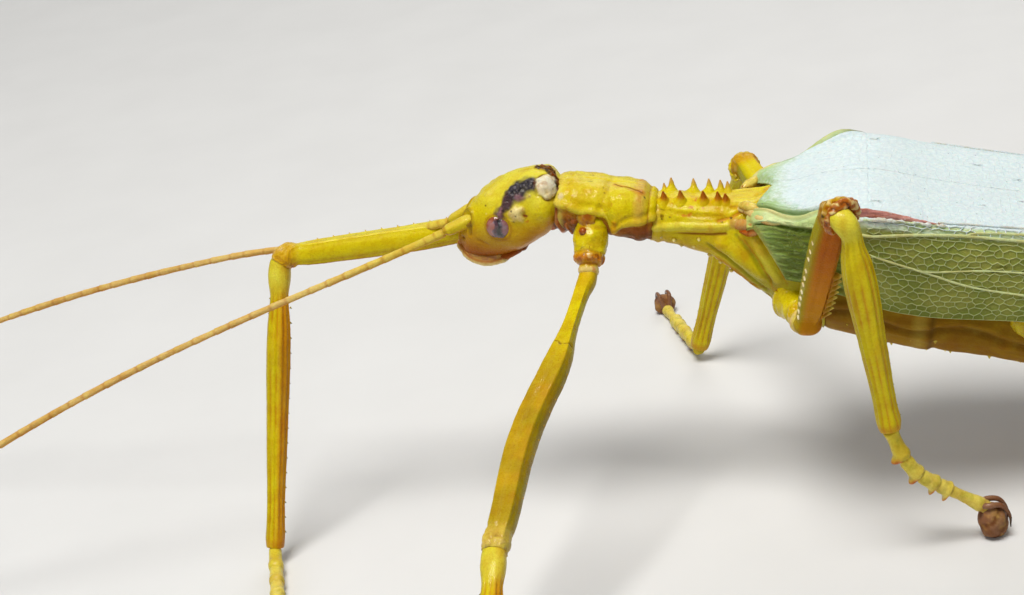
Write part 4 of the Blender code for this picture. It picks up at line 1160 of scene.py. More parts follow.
class Leg:
    """the joints, sizes and ways that the pieces of one leg share"""

    def __init__(self, pair, side):
        self.pair, self.side = pair, side
        self.name = f"{pair}_{'left' if side < 0 else 'right'}"
        self.front, self.hind = pair == "front", pair == "hind"
        self.trochanter, self.knee, self.ankle, self.tip = (np.array(at) for at in LEG_JOINTS[pair, side])
        self.hip = over_floor(HIPS[pair], side)
        self.hip_way = unit(self.trochanter - self.hip)
        self.arc = knee_arc(self.trochanter, self.knee, self.ankle, KNEE_RADIUS[pair])
        # how strongly the crumpled knee is coloured
        self.knee_hue = 0.85 if side < 0 and not self.front else 0.3

    def on_thigh(self, t):
        """centre line of the thigh; the front ones bow outwards, and the left one forwards too"""
        ahead = LEFT_BOW if self.front and self.side < 0 else 0.0
        sag = THIGH_BOW[self.pair] * self.side * math.sin(math.pi * min(1, t / 0.6)) ** 2
        start, end = self.trochanter, self.arc[0]
        return start + (end - start) * t + np.array((-ahead * fade(t - 0.65, 0.34), sag, 0))

    def thigh_plan(self):
        """centre points, the share where the knee's bend begins, and half sizes"""
        cut = 9 if self.front else 6
        shares = (0, 0.08, 0.16, 0.24, 0.32, 0.4, 0.5, 0.6, 0.72, 0.84, 0.95)
        bones = [self.trochanter - self.hip_way * 0.3, *(self.on_thigh(t) for t in shares), *self.arc[:cut]]
        bend = 1 - run_length(self.arc[:cut]) / run_length(bones)
        root, thigh, knee = LEG_SIZES[self.pair][1:4]
        if self.front:
            sizes = ((0, root * 0.95), (0.04, root * 1.02), (0.09, root * 0.85), (0.24, root * 0.85),
                     (0.36, thigh * 0.92), (0.5, thigh), (bend - 0.1, thigh * 0.95), (bend, knee * 1.02),
                     (1, knee))
        else:
            sizes = ((0, root * 0.9), (0.03, root * 1.08), (0.07, root * 0.92), (0.2, root), (0.5, thigh),
                     (bend - 0.1, thigh * 0.98), (bend - 0.01, knee * 1.12), (1, knee * 1.36))
        return bones, bend, sizes

    def piece(self, label, bm, material, slot, node_kind=None, colours=None):
        """a named piece of this leg, shaped over the floor"""
        nodes = f"{node_kind}_{self.name}" if node_kind else ()
        piece(f"{label}_{self.name}", bm, material, nodes, colours, model_from_floor)

    def hinge(self):
        """across the knee, over its top, and the way that the shin's base stands forward"""
        into, onward = unit(self.trochanter - self.knee), unit(self.ankle - self.knee)
        across = unit(np.cross(into, onward))
        return across, -unit(into + onward), across * -np.sign(across[0]), onward


def hip(leg):
    """a lumpy bulb and a ring before the thigh"""
    half, (coxa_half, root_half) = HIP_HALF[leg.pair], LEG_SIZES[leg.pair][:2]
    path = [leg.hip - leg.hip_way * 0.8, leg.hip, leg.hip + (leg.trochanter - leg.hip) * 0.5,
            leg.trochanter - leg.hip_way * 0.1]
    sizes = ((0, half * 0.9), (0.22, half * 1.12), (0.45, coxa_half * 1.06), (0.68, coxa_half * 0.94),
             (0.82, coxa_half * 0.82), (0.9, root_half * 1.14), (1, root_half * 1.08))
    bm = limb(path, sizes, sizes, 130, 0.05, BACK, caps=(0.2, 0.25))
    (co, out), note = skin_of(bm), info(bm)
    lumps, small = noise(co, 0.9, 3 + leg.side, 2), noise(co, 0.26, 8, 2)
    wavy = note[:, 2] + 0.03 * noise(co, 0.6, 21)
    lift = 0.12 * lumps + 0.04 * small
    rings = fade(wavy - 0.88, 0.03) + fade(wavy - 0.3, 0.05) * 0.5 + fade(wavy - 0.7, 0.03) * 0.5
    lift -= 0.08 * rings
    lift += 0.09 * fade(wavy - 0.78, 0.07) * step(small, -0.3, 0.4) + 0.03 * fade(wavy - 0.95, 0.05)
    colours = plain(co, "yellow")
    # darker low on the hip and in the hollows between lumps: painted shade
    lay(colours, step(co[:, 2] - path[2][2], 0.2, -1.4) * 0.5, "ochre")
    lay(colours, step(lumps, 0.1, -0.5) * 0.4, "ochre")
    lumpy = fade(wavy - 0.79, 0.13)
    stain_and_shade = 1.0 if leg.front else 0.45
    lay(colours, lumpy * 0.75 * stain_and_shade, "orange" if leg.front else "amber")
    # in the lumpy band, rust in the hollows is painted shade and cream on the raised lumps painted highlight
    lay(colours, lumpy * step(small, 0.0, -0.4) * 0.8 * stain_and_shade, "rust")
    lay(colours, lumpy * step(small, 0.25, 0.6) * 0.6, "cream")
    lay(colours, rings * 0.6 * stain_and_shade, "sienna")
    lay(colours, fade(wavy - 0.96, 0.07) * 0.85, "cream")
    lay(colours, fade(wavy - 0.96, 0.07) * step(small, 0.0, 0.5) * 0.7 * stain_and_shade, "orange")
    # sienna in the hollows at the hip's root is painted shade where it meets the body
    lay(colours, fade(note[:, 2] - 0.1, 0.12) * step(lumps, 0.3, -0.3) * 0.7, "sienna")
    lay(colours, step(noise(co, 0.2, 11), 0.6, 0.75) * fade(wavy - 0.2, 0.2) * 0.9, "rust")
    if leg.front:
        lay(colours, fade(reach(co, over_floor(HIP_STAIN, leg.side)), 0.75) * 0.75, "sienna")
        lay(colours, fade(noise(co, 0.5, 33, 2), 0.05) * fade(wavy - 0.72, 0.2) * 0.8, "brown")
    raise_skin(bm, co, out, lift)
    leg.piece("hip", bm, wet, "coxa_cuticle", "coxa", colours)


def hip_beads(leg):
    """wet knobs and a bead in the joint skin of a front hip"""
    beads = []
    for at, size, hue, shade in HIP_KNOBS:
        bead = ball(over_floor(at, leg.side), (size, size, size * 1.1), 44)
        co, out = skin_of(bead)
        bumps = noise(co, 0.4, 6, 2)
        raise_skin(bead, co, out, bumps * size * 0.2)
        hues = plain(co, hue)
        lay(hues, step(out[:, 2], 0.4, 0.8) * 0.8, "sienna")
        # darker underneath is painted shade; rust in the low bumps is painted shade and cream on the high
        # ones painted highlight
        lay(hues, step(out[:, 2], 0.0, -0.6) * 0.7, shade)
        lay(hues, step(bumps, -0.1, -0.5) * 0.8, "rust")
        lay(hues, step(bumps, 0.2, 0.6) * 0.5, "cream")
        beads.append(tone(bead, hues))
    leg.piece("hip_beads", join(beads), wet, "coxa_cuticle")


def thigh(leg):
    """the thigh, carried round the bend of the knee to its end"""
    side, (bones, bend, sizes) = leg.side, leg.thigh_plan()
    wide = [(s, h * 0.92) for s, h in sizes]

    def keels(mm, share, angle):
        body = step(share, 0.04, 0.15) * step(share, 1.0, bend)
        high = sum(hump(angle, a, 0.16) for a in (0.62, 2.52, 3.9, 5.5)) * 0.11
        low = sum(hump(angle, a, 0.22) for a in (0.0, math.pi)) * -0.07
        return body * (high + low)

    columns, end_cap = 64 if leg.hind else 84, 0.12 if leg.front else 0.3
    bm = limb(bones, wide, sizes, columns, 0.085, BACK, 2.4, (0.15, end_cap), keels)
    (co, out), note = skin_of(bm), info(bm)
    turn, share = note[:, 1], note[:, 2]
    crumbs = noise(co, 0.24, 9, 2)
    hood = step(share, bend - 0.01, bend + 0.02)
    lift = 0.02 * noise(co, 0.5, 4, 2) + 0.07 * hood * crumbs
    colours = plain(co, "yellow")
    paint = front_thigh_paint if leg.front else flat_thigh_paint
    lift += paint(side, bend, co, out, turn, share, colours)
    lay(colours, step(share, 0.16, 0.02) * 0.3, "amber")
    knee_tone = "amber" if side > 0 else "straw" if leg.front else "sienna"
    lay(colours, step(share, bend - 0.04, bend + 0.01) * 0.55, knee_tone)
    # on the knee's crumpled rim, cream on the raised crumbs is painted highlight and rust in the low ones
    # painted shade
    lay(colours, hood * step(crumbs, -0.1, 0.35) * leg.knee_hue, "tan")
    lay(colours, hood * step(crumbs, 0.2, 0.5) * leg.knee_hue, "cream")
    lay(colours, hood * step(crumbs, -0.15, -0.45) * leg.knee_hue, "rust")
    lay(colours, hood * step(noise(co, 0.3, 14), 0.62, 0.72) * leg.knee_hue, "umber")
    raise_skin(bm, co, out, lift)
    skin = shell if leg.front else horn
    leg.piece("thigh", bm, skin, "leg_cuticle", "femur", colours)


def flat_thigh_paint(side, bend, co, out, turn, share, colours):
    """orange-brown outer face of a mid or hind thigh; gives back the relief"""
    crest, outer = np.sin(turn), step(-np.cos(turn) * side, -0.25, 0.25)
    lay(colours, outer * 0.97, "amber")
    lay(colours, outer * step(share, 0.4, 0.1) * 0.6, "ochre")
    lay(colours, outer * step(share, 0.25, 0.75) * (0.7 if side < 0 else 0.4), "russet")
    lay(colours, step(crest, -0.35, -0.8) * 0.9, "olive")
    lay(colours, step(crest, 0.4, 0.9) * 0.6, "amber")
    return 0.1 * fade(share - 0.99, 0.015) - 0.06 * fade(share - bend - 0.005, 0.01)


def front_thigh_paint(side, bend, co, out, turn, share, colours):
    """a front thigh; the left one is painted darker and greener as shade and has a crack across; gives back
    the relief
    """
    if side < 0:
        # the left thigh lies in shade: ochre and moss are painted shade
        lay(colours, step(share, 0.15, 0.5) * step(out[:, 0], -0.95, -0.3) * 0.75, "ochre")
        lay(colours, step(share, 0.15, 0.6) * patches(co, 1.2, 41, -0.6, 0.3) * 0.35, "moss")
        lay(colours, step(out[:, 0], 0.25, 0.9) * 0.4, "moss")
    else:
        # pale on top: painted highlight
        lay(colours, step(out[:, 2], 0.5, 0.95) * 0.6, "pale_yellow")
    # darker underneath: painted shade
    lay(colours, step(out[:, 2], -0.15, -0.75) * 0.9, "ochre" if side < 0 else "sienna")
    crack = share - 0.305 - 0.02 * noise(co, 0.5, 31, 2)
    cracked = step(out[:, 2], -0.1, 0.4) * step(out[:, 0], -0.4, 0.1) if side < 0 else 0
    lay(colours, fade(crack, 0.007) * cracked * 0.9, "brown")
    relief = -0.06 * fade(crack, 0.012) * cracked
    return relief - 0.07 * fade(share - bend + 0.015, 0.012) + 0.08 * fade(share - bend - 0.02, 0.02)


def knee_hood(leg):
    """crumpled horseshoe rim of the knee, round the base of a mid or hind shin"""
    across, top, forward, onward = leg.hinge()
    middle = leg.arc[5] + onward * 0.35 - forward * 0.18
    turns = np.linspace(-0.75, math.pi + 0.75, 17)
    rim = [middle + (across * math.cos(t) + top * math.sin(t)) * 1.08 for t in turns]
    thick = ((0, 0.26), (0.2, 0.34), (0.5, 0.42), (0.8, 0.34), (1, 0.26))
    bm = limb(rim, thick, thick, 40, 0.05, unit(np.cross(across, top)), caps=(0.15, 0.15))
    co, out = skin_of(bm)
    crumbs = noise(co, 0.24, 12, 2)
    raise_skin(bm, co, out, 0.12 * crumbs)
    colours = plain(co, "sienna" if leg.side < 0 else "yellow")
    # cream on the raised crumbs is painted highlight, brown in the low ones painted shade
    lay(colours, step(crumbs, -0.05, 0.35) * leg.knee_hue, "tan")
    lay(colours, step(crumbs, 0.2, 0.5) * leg.knee_hue, "cream")
    lay(colours, step(crumbs, -0.2, -0.5) * leg.knee_hue, "brown")
    leg.piece("knee_hood", bm, wet, "leg_cuticle", colours=colours)


def thigh_teeth(leg):
    """teeth along one edge of the thigh and, but on the front legs, pale studs along the other, each with a
    black dot beside it as painted shade
    """
    sizes, grown = leg.thigh_plan()[2], []
    along = unit(leg.arc[0] - leg.trochanter)
    edge_way = UP - BACK * 0.2 + np.array((0, leg.side, 0.0)) * 0.6 if abs(along[0]) > 0.8 else BACK
    crest_way = unit(edge_way - along * (along @ edge_way))
    side_way = np.cross(edge_way, along)
    if leg.front:
        for t in 0.38 + 0.053 * np.arange(11):
            foot = leg.on_thigh(t) + crest_way * curve(t, sizes) * 0.9
            tip = foot + crest_way * 0.18 + along * 0.05
            grown.append(thorn(foot, tip, 0.11, "ochre", "straw", "sienna"))
    else:
        for t in 0.13 + 0.052 * np.arange(8):
            foot = leg.on_thigh(t) + crest_way * curve(t, sizes) * 0.85 + side_way * 0.35
            tip = foot + crest_way * 0.66 + along * 0.1
            grown.append(thorn(foot, tip, 0.36, "amber", "ochre", "straw"))
        for t in THIGH_STUDS:
            foot = leg.on_thigh(t) - crest_way * curve(t, sizes) * 0.84 + side_way * 0.45
            # a black dot beside each stud stands in for the shade it casts
            shade_dot = foot + crest_way * 0.22 - along * 0.1
            grown.append(thorn(shade_dot, shade_dot + side_way * 0.18, 0.13, "umber", "umber", "black"))
            stud_tip = foot - crest_way * 0.1 + side_way * 0.2
            grown.append(thorn(foot, stud_tip, 0.19, "straw", "ivory", "ivory"))
    leg.piece("thigh_teeth", join(grown), shell, "leg_cuticle")


def shin(leg):
    """the ribbed shin, its rounded base held in the knee, with a row of barbs on two edges"""
    arc, (knee_half, shin_half, ankle_half) = leg.arc, LEG_SIZES[leg.pair][3:]
    if leg.front:
        bones = arc[7:]
    else:
        forward = leg.hinge()[2]
        bones = [at + forward * 0.28 * (1 - i / 7) for i, at in enumerate(arc[5:])]
    bones += [arc[-1] + (leg.ankle - arc[-1]) * t for t in (0.1, 0.25, 0.45, 0.65, 0.82, 0.94, 0.985)]
    sizes = ((0, knee_half * 0.9), (0.05, knee_half * 0.98), (0.13, knee_half * 0.78),
             (0.22, shin_half * 1.02), (0.6, shin_half * 0.96), (0.9, ankle_half * 1.02),
             (0.985, ankle_half * 1.1), (1, ankle_half * 1.02))
    wide = [(s, h * 0.9) for s, h in sizes]

    def grooves(mm, share, angle):
        body = step(share, 0.08, 0.16) * step(share, 1.0, 0.9)
        high = sum(hump(angle, a, 0.14) for a in (0.5, 1.57, 2.65, 3.8, 4.71, 5.6)) * 0.07
        low = sum(hump(angle, a, 0.12) for a in SHIN_LINES) * -0.07
        return body * (high + low)

    columns, base_cap = 56 if leg.hind else 72, 0.35 if leg.front else 0.55
    bm = limb(bones, wide, sizes, columns, 0.1, BACK, 2.4, (base_cap, 0.08), grooves)
    (co, out), note = skin_of(bm), info(bm)
    turn, share = note[:, 1], note[:, 2]
    colours = plain(co, "yellow")
    low = sum(hump(turn, a, 0.09) for a in SHIN_LINES) * step(share, 0.06, 0.16)
    lay(colours, low * step(noise(co * (1, 1, 0.4), 0.9, 23), -0.6, 0.2) * 0.7, "amber")
    lay(colours, step(np.sin(turn), -0.1, -0.8) * 0.3, "olive")
    if leg.front:
        lay(colours, step(np.sin(turn), 0.1, 0.6) * 0.8, "amber")
    lay(colours, fade(share - 0.06, 0.09) * 0.8, "pale_yellow")
    lay(colours, fade(share - 0.985, 0.03) * 0.5, "amber")
    lay(colours, patches(co * (1, 1, 0.3), 0.8, 3, 0.1, 0.6) * 0.3, "ochre")
    raise_skin(bm, co, out, 0.018 * noise(co, 0.5, 6, 2))
    leg.piece("shin", bm, shell, "leg_cuticle", "tibia", colours)

    barbs = []
    way = leg.ankle - arc[-1]
    along = unit(way)
    crest_way = unit(BACK - along * (along @ BACK))
    side_way = np.cross(BACK, along)
    for number, edge in itertools.product(range(16), (-1, 1)):
        t = 0.12 + 0.053 * number + 0.015 * edge
        half = curve(0.12 + 0.88 * t, sizes)
        foot = arc[-1] + way * t + crest_way * half * 0.93 * edge + side_way * 0.25
        tip = foot + crest_way * 0.13 * edge + along * 0.06
        barbs.append(thorn(foot, tip, 0.075, "ochre", "olive", "umber"))
    leg.piece("shin_teeth", join(barbs), shell, "leg_cuticle")


# ends of the five joints and middle of the pad of the foot that is let down onto its pad
LET_DOWN = {("mid", -1): ((27.37, -11.8, 7.68), (28.2, -11.6, 6.02), (29.49, -11.3, 4.81),
                          (30.27, -11.15, 4.2), (32.43, -10.8, 2.54), (33.02, -10.7, 1.26))}
# where the joints of a foot begin and end, as shares of its length
FOOT_JOINTS = (0.0, 0.26, 0.45, 0.61, 0.72, 1.0)


def foot(leg):
    """five joints with small hooked pads, a round pad and two claws, resting on the floor"""
    ankle, tip = leg.ankle, leg.tip
    if (leg.pair, leg.side) in LET_DOWN:
        *stops, pad_at = (np.array(stop) for stop in LET_DOWN[leg.pair, leg.side])
        path, tip, pad_size = [ankle, *stops], stops[-1], (1.02, 0.95, 1.36)
        ahead = unit(tip - stops[-2])
    else:
        path = [ankle + (tip - ankle) * t for t in np.linspace(0, 1, 8)]
        ahead = unit(tip - ankle)
        pad_at, pad_size = tip + ahead * 0.6 + UP * 0.4, (0.95, 0.9, 0.9)
    path.append(tip + ahead * 0.3)
    foot_joints(leg, path)
    foot_pad(leg, pad_at, pad_size, tip, ahead)
    claws(leg, pad_at, pad_size, tip, ahead)


def foot_joints(leg, path):
    """the foot's five joints as one skin, with orange pads under their ends"""
    last = len(FOOT_JOINTS) - 2
    reach_share = 1 - 0.3 / run_length(path)
    sizes = [(0, LEG_SIZES[leg.pair][5] * 0.78)]
    for number, (start, end) in enumerate(zip(FOOT_JOINTS, FOOT_JOINTS[1:])):
        length = (end - start) * reach_share
        slim, full = (0.5, 0.58) if number < last else (0.4, 0.52)
        start *= reach_share
        sizes += [(start + length * 0.12, slim), (start + length * 0.55, slim * 1.04),
                  (start + length * 0.88, full)]
        if number < last:
            sizes.append((start + length, slim * 0.9))
    sizes.append((1, 0.46))
    wide = [(s, h * 0.95) for s, h in sizes]
    knots = np.array(FOOT_JOINTS) * reach_share

    def in_joint(share):
        """number of the joint, and the place along it"""
        k = np.clip(np.searchsorted(knots, share) - 1, 0, last)
        return k, (share - knots[k]) / (knots[k + 1] - knots[k])

    def lobes(mm, share, angle):
        k, part = in_joint(share)
        under = hump(angle, -math.pi / 2, 0.55)
        return under * fade(part - 0.93, 0.2) * np.where(k < last, 0.4, 0.0) - 0.05 * fade(part - 1, 0.06)

    bm = limb(path, wide, sizes, 60, 0.06, UP, 2.3, (0.15, 0.2), lobes)
    (co, out), note = skin_of(bm), info(bm)
    share, under = note[:, 2], np.sin(note[:, 1])
    k, part = in_joint(share)
    colours = plain(co, "straw")
    lay(colours, step(share, 0.6, 0.0) * 0.7, "yellow")
    lay(colours, patches(co, 0.35, 6, 0.0, -0.5) * 0.4, "olive")
    lay(colours, fade(part - 0.95, 0.2) * np.where(k < last, 1, 0) * step(under, -0.2, -0.8) * 0.95, "orange")
    lay(colours, fade(part - 1.0, 0.06) * step(under, 0.6, 0.0) * 0.5, "sienna")
    lay(colours, step(share, reach_share - 0.05, reach_share) * 0.4, "tan")
    raise_skin(bm, co, out, 0.03 * noise(co, 0.3, 4, 2), floor=0.0)
    leg.piece("foot", bm, shell, "foot_cuticle", "tarsus", colours)


def foot_pad(leg, pad_at, pad_size, tip, ahead):
    """the brown pad under the claws"""
    pad = ball(pad_at, pad_size, 60)
    co, out = skin_of(pad)
    folds = np.sin((co - tip) @ ahead * 6 + noise(co, 0.6, 3) * 2)
    co = raise_skin(pad, co, out, 0.05 * folds + 0.04 * noise(co, 0.3, 5, 2), floor=0.0)
    colours = plain(co, "dun")
    lay(colours, step(folds, 0.2, -0.8) * 0.7, "brown")
    lay(colours, patches(co, 0.4, 8, 0.1, 0.5) * 0.4, "tan")
    leg.piece("foot_pad", pad, dull, "foot_cuticle", colours=colours)


def claws(leg, pad_at, pad_size, tip, ahead):
    """two claws that arch over the pad"""
    flat = unit(np.array((ahead[0], ahead[1], 0)))
    across = np.cross(UP, flat)
    slim = ((0, 0.22), (0.3, 0.2), (0.7, 0.13), (1, 0.04))
    pair = []
    for edge in (-1, 1):
        run = [tip - ahead * 0.2 + across * edge * 0.2]
        for t in (1.9, 1.1, 0.3, -0.3):
            over = flat * math.cos(t) * pad_size[0] * 1.12 + UP * math.sin(t) * pad_size[2] * 1.12
            run.append(pad_at + over + across * edge * 0.5 * pad_size[1])
        claw = limb(run, slim, slim, 16, 0.05, caps=(0.05, 0.03))
        co = coords(claw)
        co[:, 2] = np.maximum(co[:, 2], 0.02)
        put(claw, co)
        hues = plain(claw.verts, "dun")
        lay(hues, step(info(claw)[:, 2], 0.1, 0.5) * 0.5, "brown")
        lay(hues, step(info(claw)[:, 2], 0.6, 0.95), "umber")
        pair.append(tone(claw, hues))
    leg.piece("claws", join(pair), wet, "foot_cuticle")


def build_leg(pair, side):
    """one leg from hip to claws"""
    leg = Leg(pair, side)
    hip(leg)
    if leg.front:
        hip_beads(leg)
    thigh(leg)
    if not leg.front:
        knee_hood(leg)
    thigh_teeth(leg)
    shin(leg)
    foot(leg)


# ---- wings

# the wing's plan along the back: half width, height of the fold, rise to the midline, and its lower edge
WING_HALF = ((17.2, 3.4), (18.5, 4.3), (20.3, 5.4), (22, 6.7), (25, 7.6), (30, 7.3), (35, 6.9), (45, 6.3),
             (54, 5.8), (70, 4.7), (86, 3.3))
FOLD_HEIGHT = ((17.2, 8.7), (18.5, 9.4), (20.3, 9.9), (22, 10.6), (25, 11.3), (30, 11.0), (35, 10.7),
               (45, 10.2), (54, 9.6), (70, 8.7), (86, 7.6))
RIDGE_RISE = ((17.2, 1.1), (20, 0.7), (25, 0.35), (86, 0.3))
EDGE_HALF = ((17.2, 3.5), (19.6, 4.2), (21, 4.9), (23, 5.8), (27, 7.1), (36, 7.0), (54, 5.9),
             (70, 4.8), (86, 3.3))
EDGE_HEIGHT = ((17.2, 5.0), (19.6, 4.7), (21, 4.8), (23, 4.7), (27, 4.1), (36, 3.8), (54, 3.2),
               (70, 3.4), (86, 4.6))


def wing_points(x, s, inset=0.0):
    """left wing surface: s runs from the back's midline over the fold (0.5) to the lower edge"""
    half, fold = curve(x, WING_HALF) - inset, curve(x, FOLD_HEIGHT) - inset
    t = s / 0.5
    soft = 0.35 * np.clip((t - 0.8) / 0.2, 0, 1) ** 2
    top = np.stack((x, half * t - soft * 0.3, fold + curve(x, RIDGE_RISE) * (1 - t * t) - soft), axis=1)
    t = (s - 0.5) / 0.5
    soft = 0.35 * np.clip((0.2 - t) / 0.2, 0, 1) ** 2
    edge_half, edge = curve(x, EDGE_HALF) - inset, curve(x, EDGE_HEIGHT) + inset * 0.4
    y = half + (edge_half - half) * t + 0.3 * np.sin(math.pi * t) - soft * 0.3
    side = np.stack((x, y, fold + (edge - fold) * t - soft), axis=1)
    points = np.where((s <= 0.5)[:, None], top, side) * (1, -1, 1)
    points[:, 1] -= 0.05
    return points


def on_wing(x, s, lift, inset=0.0):
    """points standing off the wing surface by lift"""
    small = 0.02
    here = wing_points(x, s, inset)
    a = wing_points(x + small, s, inset) - wing_points(x - small, s, inset)
    b = wing_points(x, np.minimum(s + 0.01, 1), inset) - wing_points(x, np.maximum(s - 0.01, 0), inset)
    return here + unit(np.cross(b, a)) * np.asarray(lift)[:, None]


WINGS = {
    "tegmen": dict(
        label="forewing", slot="forewing",
        front=((0, 18.6), (0.2, 17.7), (0.45, 17.0), (0.55, 17.1), (1, 19.7)),
        tip=lambda s: 54 - 7.0 * np.abs(s - 0.55) ** 1.6, inset=0.0, columns=76, rows=25,
    ),
    "hindwing": dict(
        label="hindwing_cover", slot="hindwing",
        front=((0, 23.5), (0.5, 22.5), (1, 25.5)),
        tip=lambda s: 86 - 9.0 * np.abs(s - 0.45) ** 1.7, inset=0.7, columns=84, rows=20,
    ),
}
# rows of cells are packed closer on the side field than on the upper one
ROW_SPREAD = ((0, 0), (0.36, 0.5), (1, 1))
# where the forewing's cells begin and its folded root ends
CELLS_FROM = 25.0
# the pinched crease of the forewing's root and the rolled edge under it, as (x, s)
CREASE = ((17.0, 0.36), (18.3, 0.39), (19.6, 0.44), (20.7, 0.45), (22.0, 0.42), (24.8, 0.45), (27.3, 0.473),
          (30, 0.48))
ROLL = ((17.0, 0.5), (19.2, 0.54), (21.5, 0.58), (25.5, 0.625), (28, 0.6))


def cell_lattice(columns, rows, seed):
    """flat six-sided cells on a unit square, with a raised vein frame around each"""
    bm = bmesh.new()
    bmesh.ops.create_grid(bm, x_segments=columns, y_segments=rows, size=0.5)
    spot = {}
    for v in bm.verts:
        spot[v] = (round((v.co.x + 0.5) * columns), round((v.co.y + 0.5) * rows))
    rng = np.random.default_rng(seed)
    cut = []
    for edge in bm.edges:
        (i, j), (p, q) = (spot[v] for v in edge.verts)
        if i == p and 0 < i < columns and ((i + min(j, q)) % 2 or rng.random() < 0.07):
            cut.append(edge)
    for v, (i, j) in spot.items():
        v.co.x, v.co.y = i, j
        if 0 < i < columns:
            v.co.x += rng.uniform(-0.3, 0.3)
            if 0 < j < rows:
                v.co.y += (0.17 if (i + j) % 2 == 0 else -0.17) + rng.uniform(-0.2, 0.2)
    bmesh.ops.dissolve_edges(bm, edges=cut, use_verts=False)
    height = bm.verts.layers.float.new("vein")
    for v in bm.verts:
        v[height] = 1.0
    cells = bm.faces[:]
    # the frame's flank, a gully inside it, then the cell's own low dome
    for thickness, value in ((0.055, 0.8), (0.08, -0.1), (0.12, -0.25)):
        before = set(bm.verts)
        bmesh.ops.inset_individual(bm, faces=cells, thickness=thickness, use_even_offset=True)
        for v in bm.verts:
            if v not in before:
                v[height] = value
    before = set(bm.verts)
    bmesh.ops.poke(bm, faces=cells)
    for v in bm.verts:
        if v not in before:
            v[height] = 0.05
    return bm, height


def wing_paint(kind, x, s):
    """painted hue, pale waxy coat with a painted sky sheen on top, and root streaks over a wing"""
    top = s < 0.5
    base = step(x, 25.5, 22.0) * (kind == "tegmen")
    # pale on top and fading down the side: the waxy coat, with a painted reflection of the sky
    bloom = np.where(top, 0.75 + 0.3 * step(s, 0.5, 0.25), 0.74 - (s - 0.5) * 4.5)
    bloom = bloom - step(x, 23.0, 17.6) * 0.62 - base * step(s, 0.43, 0.5) * 0.4
    # painted shade: a grey patch over the fold around x 25, where the left wing's tear begins
    shade_over_tear = fade(x - 24.9, 1.9) * fade(s - 0.462, 0.022) * (kind == "tegmen")
    bloom = bloom - shade_over_tear * 0.6
    colours = plain(x, "leaf")
    lay(colours, step(s, 0.6, 0.5) * 0.8, "wing_tint")
    lay(colours, base * step(s, 0.5, 0.62) * 0.8, "leaf_dark")
    lay(colours, top * 0.8, "wing_tint")
    lay(colours, step(x, 20.5, 17.4) * 0.6, "leaf_pale")
    lay(colours, step(s, 0.9, 1.0) * 0.25, "leaf_dark")
    lay(colours, shade_over_tear, "grey")
    lay(colours, fade(s - 0.532, 0.045) * step(x, 22, 25) * 0.95, "mist")
    return colours, np.clip(bloom, -1, 1.2), base * step(s, 0.47, 0.56)


def wing_rise(kind, side, x, s):
    """how far the whole wing stands off its plan surface; the right forewing lies over the left"""
    if kind != "tegmen":
        return np.zeros(len(x))
    over = 0.35 * fade(s - 0.5, 0.45) + 0.45 * fade(x - 23.6, 2.4) * fade(s - 0.46, 0.12)
    return over * (side > 0)


def finish_wing(kind, name, side, bm, x, s, lift, painted, vein, label=None):
    """bend the sheet over the back, thicken it inwards and make it a piece; a label marks an added sheet"""
    plan = WINGS[kind]
    inset = plan["inset"]
    points = on_wing(x, s, lift, inset) * (1, -side, 1)
    deeper = on_wing(x, s, lift * 0.3 - 0.2, inset) * (1, -side, 1) - points
    put(bm, points)
    colours, bloom, streaks = painted
    tone(bm, colours)
    for mark, values in (("vein", vein), ("bloom", bloom), ("streaks", streaks)):
        layer = bm.verts.layers.float.get(mark) or bm.verts.layers.float.new(mark)
        for v, value in zip(bm.verts, values):
            v[layer] = value
    inward = bm.verts.layers.float_vector.new("inward")
    for v, way in zip(bm.verts, deeper):
        v[inward] = way
    grown = bmesh.ops.extrude_face_region(bm, geom=bm.faces[:], use_keep_orig=True)["geom"]
    for item in grown:
        if isinstance(item, bmesh.types.BMVert):
            item.co += item[inward]
    bmesh.ops.recalc_face_normals(bm, faces=bm.faces)
    nodes = () if label else f"{kind}_{name}"
    piece(f"{label or plan['label']}_{name}", bm, wing_skin, nodes)


def wing(kind, name, side):
    """the netted sheet of a wing, its cells packed between veins"""
    plan = WINGS[kind]
    columns, rows = plan["columns"], plan["rows"]
    bm, height = cell_lattice(columns, rows, 3)
    flat = coords(bm)
    vein = np.array([v[height] for v in bm.verts])
    share, s = np.clip(flat[:, 0] / columns, 0, 1), np.clip(flat[:, 1] / rows, 0, 1)
    if kind == "tegmen":
        s = np.interp(s, *np.array(ROW_SPREAD).T)
        front = CELLS_FROM
    else:
        front = level(s, plan["front"])
    x = front + (plan["tip"](s) - front) * share
    top = s < 0.5
    strip = fade(s - 0.525, 0.04) * step(x, 26, 29) * (kind == "tegmen")
    strength = np.where(top, 0.1 + 0.3 * step(s, 0.44, 0.5), 1.0)
    lift = (vein * 0.055 + 0.05 * noise(flat, 3.0, 2)) * strength + wing_rise(kind, side, x, s)
    lift += 0.07 * strip * np.clip(vein, 0, 1)
    if kind == "tegmen":
        for at, amount in ((0.16, 0.04), (0.3, 0.03)):
            lift += amount * fade(s - at - 0.003 * (x - 20), 0.04)
        lift -= 0.12 * step(x, CELLS_FROM + 0.4, CELLS_FROM)
    painted = wing_paint(kind, x, s)
    colours, bloom, _ = painted
    # veins show faintly on top and strongly on the side; the negative values paint shade into the gullies
    # beside them
    vein_and_gully_shade = np.clip(vein, 0, 1) ** 1.5 * np.where(top, 0.12, 0.75) * (1 - 0.8 * strip)
    vein_and_gully_shade -= np.where(top, 0.1, 0.7) * fade(vein + 0.15, 0.16)
    lay(colours, strip * 0.75, "bud")
    bloom += 0.6 * strip * step(vein, 0.4, 1.0) - 0.3 * strip
    finish_wing(kind, name, side, bm, x, s, lift, painted, vein_and_gully_shade)


